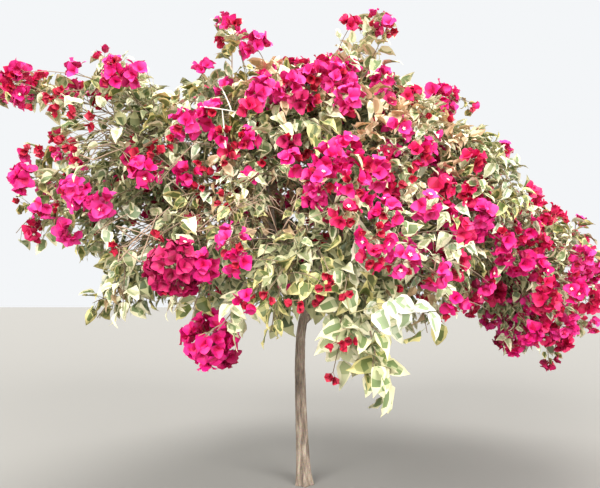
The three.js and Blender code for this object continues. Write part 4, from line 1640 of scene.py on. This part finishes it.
posy_room = POSY_ROOM * np.sqrt(posy_counts) + POSY_MARGIN
posy_middles = posy_places + outward_from_heart(posy_places) * POSY_MARGIN


def hides_a_posy(points):
    """Whether points lie before a posy, as the camera sees them."""
    apart = np.linalg.norm(pixels_of(points)[:, None] - pixels_of(posy_middles), axis=-1)
    shown = posy_room * FOCAL_PIXELS / distance_to_camera(posy_middles)
    nearer = distance_to_camera(points)[:, None] < distance_to_camera(posy_middles)
    return (nearer & (apart < shown * HIDING_SHARE)).any(-1)


rng = dice_for(5)
blade_middles = leaves["root"] + leaves["along"] * leaves["length"][:, None] / 2
posy_cover = bell(blade_middles, posy_middles, posy_room, POSY_RIM_POWER).max(-1)
inner_share = INNER_SHARE * (leaves["depth"] < INNER_DEPTH)
missing = share_near(leaves["start"], BARE_SPOTS) + inner_share + posy_cover
missing += share_in(blade_middles, WINDOWS) + hides_a_posy(blade_middles)
leaves = only(leaves, rng.random(len(missing)) > missing)
print(f"{len(leaves['root'])} leaves left")

# %% [markdown]
# ## Tints by spray
# A whole spray of leaves shares one tint: sage, grey-green or olive with a cream or yellow edge, nearly
# all cream, pinkish where the growth is new, and dark green deep inside the crown, which is painted
# shade. A grid of colours laid over the crown would slide over the leaves; a tint that belongs to a
# spray stays with it.

# %% Leaf tints
# A leaf's skin is living green with a waxy coat, and where it is variegated the edge has no green at
# all. That gives the eye a soft satin surface with a bright rim. For each tint: the blade's colour,
# the edge's, where the border lies as a share of the half width, and how many sprays have the tint.
LEAF_TINTS = {
    "sage": ("#70814f", "#dcd5ab", 0.62, 0.32),
    "grey_green": ("#83946f", "#e2dec3", 0.60, 0.24),
    "olive": ("#626e36", "#d2c684", 0.62, 0.20),
    "cream": ("#a3aa7b", "#e6dfbc", 0.40, 0.20),
    "blush": ("#c2a47c", "#efceaa", 0.46, 0.05),
    # The pale row: pale by its own variegation, and brighter still as painted light, as if strongly
    # lit.
    "pale": ("#9cac82", "#f4f1e0", 0.52, 0.00),
}
# Painted shade: the shade and deep shade tints darken leaves deep in the crown, where shade falls. The
# dry tint is the brown of dead leaves.
PAINTED_SHADE_AND_DRY_TINTS = {
    "shade": ("#56643d", "#bcbb8c", 0.66, 1.0),
    "deep_shade": ("#394526", "#868555", 0.70, 1.0),
    "dry": ("#826848", "#ab8f68", 0.60, 1.0),
}
# For each tint: ellipses, whose share is that of sprays which take it there. Some give a tint for its
# own tone, others paint light and shade: sage and olive low in the middle, at the left hem and in the
# interior are painted shade, and cream and blush over the dome's top and cream on the left shoulder are
# painted light.
TINT_AND_PAINTED_LIGHT_PLACES = {
    "sage": {
        "hanging": (370, 372, 44, 42, 0.95),
        "centre_low": (300, 285, 56, 40, 0.75),
        "left_hem": (140, 320, 60, 30, 0.60),
    },
    "olive": {
        "left_hem": (140, 315, 60, 34, 0.35),
        "interior": (254, 212, 64, 42, 0.50),
        "hanging": (370, 372, 44, 42, 0.25),
        "centre_low": (300, 285, 56, 40, 0.40),
    },
    "cream": {
        "right_hem": (388, 315, 46, 15, 0.60),
        "above_ball": (214, 168, 40, 22, 0.50),
        "left_shoulder": (165, 118, 30, 16, 0.50),
        "dome_top": (300, 98, 62, 22, 0.65),
        "top_shoot": (366, 38, 34, 30, 0.80),
        "left_canes": (118, 124, 66, 52, 0.68),
        "slope": (430, 150, 62, 52, 0.58),
        "centre": (335, 180, 60, 44, 0.52),
    },
    "blush": {
        "dome_right": (372, 128, 40, 44, 0.60),
        "slope": (425, 165, 56, 48, 0.36),
        "heart_top": (292, 176, 38, 14, 0.50),
        "centre": (335, 180, 60, 44, 0.34),
        "dome": (300, 90, 84, 28, 0.34),
        "middle": (290, 122, 50, 18, 0.45),
        "interior": (236, 176, 60, 34, 0.22),
    },
    "dry": {
        "heart": (246, 208, 62, 36, 0.58),
        "upper": (262, 150, 50, 26, 0.22),
        "centre": (300, 215, 30, 18, 0.35),
        "slope": (400, 165, 44, 40, 0.20),
        "right_gap": (430, 300, 40, 26, 0.25),
        "left_hem": (115, 295, 9, 12, 1.00),
    },
}
tint_names = [*LEAF_TINTS, *PAINTED_SHADE_AND_DRY_TINTS]
tint_rows = [*LEAF_TINTS.values(), *PAINTED_SHADE_AND_DRY_TINTS.values()]
print(f"{len(tint_names)} tints")

# %% [markdown]
# ## Which leaf has which tint
# A spray is dealt its tint by its own chance. Places in the photograph then change it, some for their
# own tone and some as painted light and shade, depth darkens it as painted shade, and the pale row and
# the dry leaves come last, because nothing may change them. A dry leaf is smaller as well, and curled.

# %% Dealt tints
DEAL_STEP, DEAL_SHIFT = 3.0, 0.37
PLACE_STEP, PLACE_SHIFT = 7.0, 0.71
NEW_GROWTH_ABOVE = 0.85
# Painted shade: leaves nearer the heart than these depths, which wander a little, take the darker
# tints.
PAINTED_SHADE_FROM, DEEP_PAINTED_SHADE_FROM, DEPTH_WANDER = 0.80, 0.58, 0.08
BORDER_SPREAD = 0.12
DRY_IS_SMALLER, DRY_CURL = 0.62, 0.5


def deal(shares, sprays):
    """The number of a tint for each spray, dealt out by shares with the spray's own chance."""
    dealt = chance(sprays * DEAL_STEP + DEAL_SHIFT)
    return np.searchsorted(np.cumsum(shares) / np.sum(shares), dealt)


def dealt_at(things, ellipses):
    """Whether each thing's spray takes a tint: where its chance is under the ellipses' share."""
    return chance(things["spray"] * PLACE_STEP + PLACE_SHIFT) < share_in(things["root"], ellipses)


def tinted(leaves_chosen, name):
    """The number of each leaf's tint once the chosen leaves have a new one."""
    return np.where(leaves_chosen, tint_names.index(name), tint_of)


rng = dice_for(6)
tint_of = deal([tint[3] for tint in LEAF_TINTS.values()], leaves["spray"])
is_low = leaves["start"][:, 2] < NEW_GROWTH_ABOVE
tint_of = tinted(is_low & (tint_of == tint_names.index("blush")), "cream")
painted_shade_depth = leaves["depth"] + between(-DEPTH_WANDER, DEPTH_WANDER, len(tint_of))
# Places deal tints for their own tone, and darker or lighter ones as painted shade and painted light.
for name in ("sage", "olive", "cream", "blush"):
    tint_of = tinted(dealt_at(leaves, TINT_AND_PAINTED_LIGHT_PLACES[name]), name)
# Painted shade: the deeper a leaf sits in the crown, the darker its tint.
tint_of = tinted(painted_shade_depth < PAINTED_SHADE_FROM, "shade")
tint_of = tinted(painted_shade_depth < DEEP_PAINTED_SHADE_FROM, "deep_shade")
# Painted light: the pale row's tint is brighter than its own pale colour, as if strongly lit.
is_pale_lit_row = leaves["spray"] == PALE_LIT_SPRAY
tint_of = tinted(is_pale_lit_row, "pale")
is_dry = dealt_at(leaves, TINT_AND_PAINTED_LIGHT_PLACES["dry"]) & ~is_pale_lit_row
tint_of = tinted(is_dry, "dry")
for key in ("length", "width"):
    leaves[key] *= np.where(is_dry, DRY_IS_SMALLER, 1)
leaves["curl"] += is_dry * DRY_CURL
borders = np.array([tint[2] for tint in tint_rows])[tint_of][:, None]
leaves["border"] = borders + between(-BORDER_SPREAD, BORDER_SPREAD, (len(tint_of), 1))
print(f"{is_pale_lit_row.sum()} pale leaves, {is_dry.sum()} dry ones")

# %% [markdown]
# ## The leaves
# Leaves of one tint become one mesh. A leaf that would stand out of the solids' box is left out, so
# that the plant keeps its size. Leaves in the shade have fewer faces, because nobody can tell.

# %% Leaf pieces
BOX_SHARE, BOX_MARGIN = 0.02, 0.002
LEAF_ROUGHNESS = 0.5

low_limit, high_limit = np.array(cad_low), np.array(cad_high)
margin = BOX_SHARE * (high_limit - low_limit) + BOX_MARGIN


def in_the_box(points):
    """Whether points lie in the solids' box, let out by a margin."""
    return ((points > low_limit - margin) & (points < high_limit + margin)).all(-1)


blade_tips = leaves["root"] + leaves["along"] * leaves["length"][:, None]
inside = in_the_box(leaves["root"]) & in_the_box(blade_tips)
print(f"{(~inside).sum()} leaves left out at the very edge")
for number, name in enumerate(tint_names):
    middle, edge = tint_rows[number][:2]
    stations = LEAF_STATIONS if name in LEAF_TINTS else SHADE_LEAF_STATIONS
    chosen = only(leaves, inside & (tint_of == number))
    points, polygons, finishes = edged_leaves(chosen, stations)
    materials = [
        finish(f"Leaf blade, {name}", middle, LEAF_ROUGHNESS),
        finish(f"Leaf edge, {name}", edge, LEAF_ROUGHNESS),
        finish(f"Leaf blotch, {name}", halfway(middle, edge), LEAF_ROUGHNESS),
    ]
    make_piece(f"leaves_{name}", points, polygons, "leaf", foliage_nodes, materials, finishes)

# %% [markdown]
# ## Leaf stalks
# A leaf hangs from a stalk as long as a fingernail. Inside the crown nobody sees it, so only the outer
# leaves get one: a straight three-sided rod from the twig to the foot of the blade.

# %% Leaf stalks
STALK_RADIUS = 0.0006
STALKS_FROM = 0.84
# Soft green tissue without bark: a thin light line that ties a leaf to its twig.
STALK = finish("Green leaf stalk", "#a3a86c", 0.6)


def straight_stalks(starts, ends, radius):
    """Straight three-sided stalks."""
    corners = np.stack([starts, (starts + ends) / 2, ends], axis=1)
    return twig_tubes(corners, (radius, radius), 2, 3)


seen = only(leaves, inside & (leaves["depth"] > STALKS_FROM))
stalks = straight_stalks(seen["start"], seen["root"], STALK_RADIUS)
make_piece("leaf_stalks", *stalks, "leaf", foliage_nodes, [STALK])

# %% [markdown]
# ## Blossom
# What looks like a petal is a bract: a thin, papery leaf, three to a flower, set as a three-sided cup.
# Each is broad and pointed with a crinkled rim and bends outward as it ages. Young ones are small,
# crimson and nearly shut. A bract could be cut from a plane and bent with a modifier, but a formula
# for its midline opens thousands of them by different amounts at once.

# %% Bract shape
BRACTS = 3
# The throat's finish is darker than the blade's: painted shade deep in each cup.
SHADED_THROAT, BLADE = 0, 1
# For each form: the stations along a bract, and the columns across it.
OPEN_BRACT = (np.array([0.20, 0.44, 0.68, 0.88]), 4)
YOUNG_BRACT = (np.array([0.28, 0.66]), 3)
BRACT_FOOT_POWER, BRACT_TIP_POWER, BRACT_WIDTH_SCALE = 0.6, 0.8, 2.6
BRACT_TURN_WANDER = 0.25


def bract_width(share):
    """Half the width of a bract, as a share of the widest: the share of its length to one power,
    times what is left of the length to another, scaled."""
    return BRACT_WIDTH_SCALE * share**BRACT_FOOT_POWER * (1 - share) ** BRACT_TIP_POWER


def opened_way(flower, share):
    """Where a bract's midline is, along the flower's axis and out from it. Its angle from the axis
    grows evenly along it, so that both are differences of sines and cosines over that growth."""
    first, growth = flower["shut"][:, None], flower["opening"][:, None]
    angle = first + growth * share
    axial = (np.sin(angle) - np.sin(first)) / growth
    radial = (np.cos(first) - np.cos(angle)) / growth
    return angle, axial * flower["length"][:, None], radial * flower["length"][:, None]


def bract_points(flower, number, stations, columns):
    """One bract of every flower: the midline, and on each side of it the width across, lifted
    towards the axis by a fold and by a crinkle."""
    count, rows = len(flower["root"]), len(stations)
    wander = between(-BRACT_TURN_WANDER, BRACT_TURN_WANDER, count)
    turn = flower["spin"] + number * 2 * np.pi / BRACTS + wander
    out = flower["side"] * np.cos(turn)[:, None] + flower["over"] * np.sin(turn)[:, None]
    tangent = np.cross(flower["axis"], out)
    share = np.concatenate([stations, [0.0, 1.0]])[None]
    angle, axial, radial = opened_way(flower, share)
    upward, outward = flower["axis"][:, None], out[:, None]
    middle = flower["root"][:, None] + upward * axial[..., None] + outward * radial[..., None]
    inward = upward * np.sin(angle)[..., None] - outward * np.cos(angle)[..., None]
    column = np.linspace(-1, 1, columns)[None, None]
    width = over_grid(flower["width"]) * bract_width(stations)[None, :, None] * column
    crinkle = over_grid(flower["crinkle"]) * rng.normal(size=(count, rows, columns))
    lift = over_grid(flower["fold"]) * np.abs(width) + crinkle * np.abs(column)
    grid = middle[:, :rows, None] + tangent[:, None, None] * width[..., None]
    grid = grid + inward[:, :rows, None] * lift[..., None]
    return np.concatenate([grid.reshape(count, -1, 3), middle[:, rows:]], axis=1)


def bracts_with_shaded_throats(flower, stations, columns):
    """All the bracts of flowers as points, polygons and the finish of each polygon: the throat's as
    far as the second station, darker as painted shade in the cup, and the blade's beyond."""
    bracts = [bract_points(flower, number, stations, columns) for number in range(BRACTS)]
    points = np.concatenate(bracts)
    grid, fans = blade_polygons(len(stations), columns)
    polygons = [repeated(block, points.shape[1], len(points)) for block in (grid, fans)]
    grid_finish = np.where(np.arange(len(grid)) < columns - 1, SHADED_THROAT, BLADE)
    fan_finish = np.repeat([SHADED_THROAT, BLADE], columns - 1)
    finishes = [np.tile(grid_finish, len(points)), np.tile(fan_finish, len(points))]
    return points, polygons, np.concatenate(finishes)


scan = np.linspace(0, 1, 101)
print(f"a bract is widest at {scan[bract_width(scan).argmax()]:.2f} of its length")

# %% [markdown]
# ## Clusters
# In a posy every flower faces away from the posy's middle, so that a large one is a ball and a small
# one a spray. A golden spiral over part of a sphere deals the directions out evenly; the part grows
# with the number of flowers, and so does the ball.

# %% Flower places
BRACT_LENGTHS = (0.023, 0.031)
YOUNG_LENGTHS = (0.016, 0.025)
YOUNG_DROOP = 0.5
BRACT_HALF_WIDTH = 0.43
BALL_RADIUS, BALL_DEPTHS = 0.0053, (0.7, 1.3)
# With more flowers than these a cluster is larger, is a whole ball, or isn't a stray.
BALL_ABOVE, FULL_BALL_ABOVE, STRAYS_UP_TO = 6, 20, 2
BALL_IS_LARGER = 1.14
# The least cosine: a whole ball's, and else one that falls with each flower, within limits.
FULL_BALL = -0.95
LEAST_AT_NONE, LEAST_PER_FLOWER, LEAST_LIMITS = 0.75, 0.10, (-0.45, 0.6)
YOUNG_SHARE, YOUNG_IN_BALL, STRAY_YOUNG_SHARE = 0.18, 0.04, 0.45
LONGEST_BRACT_PIXELS, LONGEST_YOUNG_PIXELS = 13.0, 9.5
CLUSTER_ALONG, CLUSTER_OUTWARD, CLUSTER_UP, FLOWER_SCATTER = 0.7, 0.7, 0.1, 0.18
# The least and the most of each: spin, shut and opening are angles, the width is a share of the
# usual one, the fold a slope and the crinkle a share of the length. Open flowers' angles are wider.
FLOWER_VARIES = {
    "spin": (0, 2 * np.pi),
    "width": (0.85, 1.20),
    "shut": (0.05, 0.35),
    "opening": (0.35, 0.90),
    "fold": (0.05, 0.60),
    "crinkle": (0.05, 0.14),
}
OPEN_IS_WIDER = {"shut": 0.20, "opening": 0.15}


def set_flowers(twigs, counts, spray, only_young):
    """Flowers round the ends of twigs. Flower k of n leans from the twig by an angle whose cosine
    falls evenly from 1 to a least value, and is turned by k golden angles."""
    owner, order = numbered(counts)
    total, count = counts[owner], len(owner)
    tip, along = twigs[owner, 2], curve_directions(twigs[owner], 1.0)
    outward = outward_from_heart(tip)
    middle = unit(CLUSTER_ALONG * along + CLUSTER_OUTWARD * outward + CLUSTER_UP * UP)
    is_ball = total > FULL_BALL_ABOVE
    least = np.clip(LEAST_AT_NONE - LEAST_PER_FLOWER * total, *LEAST_LIMITS)
    least = np.where(is_ball, FULL_BALL, least)
    cosine = 1 - (1 - least) * (order + 0.5) / total
    spin = order * GOLDEN_TURN + owner
    axis = middle * cosine[:, None] + around(middle, spin) * np.sqrt(1 - cosine**2)[:, None]
    axis = unit(axis + FLOWER_SCATTER * rng.normal(size=(count, 3)))
    root = tip + axis * (BALL_RADIUS * np.sqrt(total) * between(*BALL_DEPTHS, count))[:, None]
    young_share = np.where(total > STRAYS_UP_TO, YOUNG_SHARE, STRAY_YOUNG_SHARE)
    young = rng.random(count) < np.where(is_ball, YOUNG_IN_BALL, young_share)
    young |= only_young[owner]
    length = np.where(young, between(*YOUNG_LENGTHS, count), between(*BRACT_LENGTHS, count))
    length *= np.where(total > BALL_ABOVE, BALL_IS_LARGER, 1)
    longest = np.where(young, LONGEST_YOUNG_PIXELS, LONGEST_BRACT_PIXELS)
    length = np.minimum(length, longest * distance_to_camera(root) / FOCAL_PIXELS)
    axis = unit(axis - UP * (YOUNG_DROOP * young)[:, None])
    side, over = across_twigs(axis)
    shape = varied(FLOWER_VARIES, count)
    shape["width"] = length * BRACT_HALF_WIDTH * shape["width"]
    shape["crinkle"] = length * shape["crinkle"]
    for key, wider in OPEN_IS_WIDER.items():
        shape[key] += np.where(young, 0, wider)
    return shape | {
        "start": tip,
        "root": root,
        "axis": axis,
        "side": side,
        "over": over,
        "length": length,
        "young": young,
        "spray": spray[owner],
    }


rng = dice_for(7)
side_is_young = np.isin(np.arange(len(sides)), np.array(posy_twigs)[posy_is_young])
flowers = together(
    set_flowers(sides, side_flowers, np.arange(len(sides)), side_is_young),
    set_flowers(fines, fine_flowers, fine_owner, fine_is_young),
)
flower_tips = flowers["root"] + flowers["axis"] * flowers["length"][:, None]
flowers = only(flowers, in_the_box(flower_tips))
print(f"{len(flowers['root'])} flowers inside the crown's box")

# %% [markdown]
# ## Blossom tints
# Bracts glow, because thin tissue full of red colour lets light through and scatters it. Daylight and
# age shift them from crimson over magenta to pink. Light through a leaf is slow to render, so the
# colour itself carries the glow as painted light, one tint to a cluster, with a darker throat in every
# cup as painted shade.

# %% Blossom tints
# A bract's tissue is thin and dry as paper: matt, with no highlights. For each tint: the blade's
# colour, the throat's darker one, which is painted shade in the cup, and how many sprays have it.
BRACT_TINTS = {
    "magenta": ("#e5127d", "#cf0e5c", 0.36),
    "rose": ("#da0f5c", "#c00b44", 0.26),
    "pink": ("#e8308e", "#d51a6c", 0.26),
    "deep": ("#bb0c58", "#9e083f", 0.12),
    "crimson": ("#cd123c", "#ab0e32", 0.0),
}
# For each ellipse: its share is that of sprays which turn pink there. Pink is the lightest open tint,
# and where posies sit in shade, at the top and in the left cluster, it is painted light.
PINK_AND_PAINTED_LIGHT_PLACES = {
    "top": (300, 88, 72, 26, 0.60),
    "left_cluster": (85, 208, 44, 36, 0.55),
    "left_tip": (20, 86, 28, 26, 0.70),
    "pair": (125, 78, 28, 18, 0.60),
    "top_left": (236, 36, 32, 28, 0.60),
    "shoulder_left": (200, 122, 34, 20, 0.50),
}
BLOSSOM_DEAL = 0.5
SHADED_THROAT_ROUGHNESS, BLADE_ROUGHNESS = 0.6, 0.55

bract_names = list(BRACT_TINTS)
bract_tint = deal([tint[2] for tint in BRACT_TINTS.values()], flowers["spray"] + BLOSSOM_DEAL)
# Pink where the blossom is pinker, and as painted light where posies sit in shade.
bract_tint = np.where(dealt_at(flowers, PINK_AND_PAINTED_LIGHT_PLACES), bract_names.index("pink"), bract_tint)
bract_tint = np.where(flowers["young"], bract_names.index("crimson"), bract_tint)
# The throat colour is painted shade in the cup.
for number, (name, (blade, throat, _)) in enumerate(BRACT_TINTS.items()):
    form = YOUNG_BRACT if name == "crimson" else OPEN_BRACT
    points, polygons, finishes = bracts_with_shaded_throats(only(flowers, bract_tint == number), *form)
    materials = [
        finish(f"Papery bract throat in painted shade, {name}", throat, SHADED_THROAT_ROUGHNESS),
        finish(f"Papery bract, {name}", blade, BLADE_ROUGHNESS),
    ]
    make_piece(f"bracts_{name}", points, polygons, "bract", foliage_nodes, materials, finishes)

# Soft tissue flushed with red: it leads the eye from the green twig into the blossom.
FLOWER_STALK = finish("Red-green flower stalk", "#a8705a", 0.6)
stalks = straight_stalks(flowers["start"], flowers["root"], STALK_RADIUS)
make_piece("flower_stalks", *stalks, "leaf", foliage_nodes, [FLOWER_STALK])

# %% [markdown]
# ## The true flowers
# In the cup of bracts stands the true flower, a tube that ends in a tiny cream star. Only some are open
# at a time. From here the tube is hidden, so a shallow star with ten corners on its rim is enough.

# %% True flowers
STAR_SHARE = 0.16
STAR_RADIUS = 0.0048
STAR_DIP = 0.5
STAR_HEIGHT = 0.55
STAR_DEPTH = 0.002
RIM_CORNERS = 10
# Fresh petal, nearly white: small bright points that make the cups look deep.
STAR = finish("Cream star flower", "#f8f6e6", 0.6)

rng = dice_for(8)
open_flowers = only(flowers, ~flowers["young"] & (rng.random(len(flowers["root"])) < STAR_SHARE))
axis, side, over = (open_flowers[key] for key in ("axis", "side", "over"))
corner = np.arange(RIM_CORNERS)
rim_turn = corner * 2 * np.pi / RIM_CORNERS
rim_radius = STAR_RADIUS * np.where(corner % 2 == 0, 1, STAR_DIP)
star_centre = open_flowers["root"] + axis * (open_flowers["length"] * STAR_HEIGHT)[:, None]
star_rim = (
    star_centre[:, None]
    + side[:, None] * (rim_radius * np.cos(rim_turn))[None, :, None]
    + over[:, None] * (rim_radius * np.sin(rim_turn))[None, :, None]
)
star_mouth = star_centre - axis * STAR_DEPTH
stars = np.concatenate([star_mouth[:, None], star_rim], axis=1)
star_fan = np.stack([np.zeros_like(corner), corner + 1, (corner + 1) % RIM_CORNERS + 1], -1)
star_polygons = [repeated(star_fan, RIM_CORNERS + 1, len(stars))]
make_piece("star_flowers", stars, star_polygons, "bract", foliage_nodes, [STAR])

# %% [markdown]
# ## Studio
# The photograph was taken in bright, soft daylight. A plain pale floor, an even pale sky and three far
# lamps with soft edges stand in for it: one from the upper left, one from the right that is nearly as
# strong, and one from above for the top of the crown. Lamps that shine like the sun light the floor
# evenly, where a near lamp would leave a bright spot on it.

# %% Floor and light
FLOOR_SIZE = 30.0
SKY = "#f4f6f8"
SKY_STRENGTH = 1.00
# For each lamp: a place in the direction that it shines from, in metres, and its strength.
LAMPS = {
    "key": ((-3.8, -5.8, 4.2), 3.5),
    "fill": ((4.8, -5.4, 3.4), 3.2),
    "crown": ((0.5, 1.0, 8.0), 2.6),
}
LAMP_SOFTNESS = np.radians(40)


def soft_lamp(name, place, strength):
    """A far and wide lamp that shines from a place towards the crown's heart, evenly everywhere."""
    data = bpy.data.lights.new(name, "SUN")
    data.angle = LAMP_SOFTNESS
    data.energy = strength
    lamp = bpy.data.objects.new(name, data)
    lamp.location = place
    lamp.rotation_euler = Vector(HEART - np.array(place)).to_track_quat("-Z", "Y").to_euler()
    bpy.context.scene.collection.objects.link(lamp)


for name, (place, strength) in LAMPS.items():
    soft_lamp(name, place, strength)

world = bpy.data.worlds.new("studio")
world.use_nodes = True
sky = world.node_tree.nodes["Background"]
sky.inputs["Color"].default_value = linear(SKY)
sky.inputs["Strength"].default_value = SKY_STRENGTH
bpy.context.scene.world = world
bpy.context.scene.view_settings.view_transform = "Standard"

half_floor = FLOOR_SIZE / 2
floor_corners = np.array([[-1, -1, 0], [1, -1, 0], [1, 1, 0], [-1, 1, 0]]) * half_floor
floor_mesh = bpy.data.meshes.new("floor")
floor_mesh.from_pydata(floor_corners.tolist(), [], [(0, 1, 2, 3)])
# Matt painted board: under the bright lamps it shows pale and keeps the shadow soft.
floor_mesh.materials.append(finish("Pale studio floor", "#8c8983", 0.9))
floor = bpy.data.objects.new("floor", floor_mesh)
bpy.context.scene.collection.objects.link(floor)
print(f"{len(LAMPS)} soft lamps over the floor")
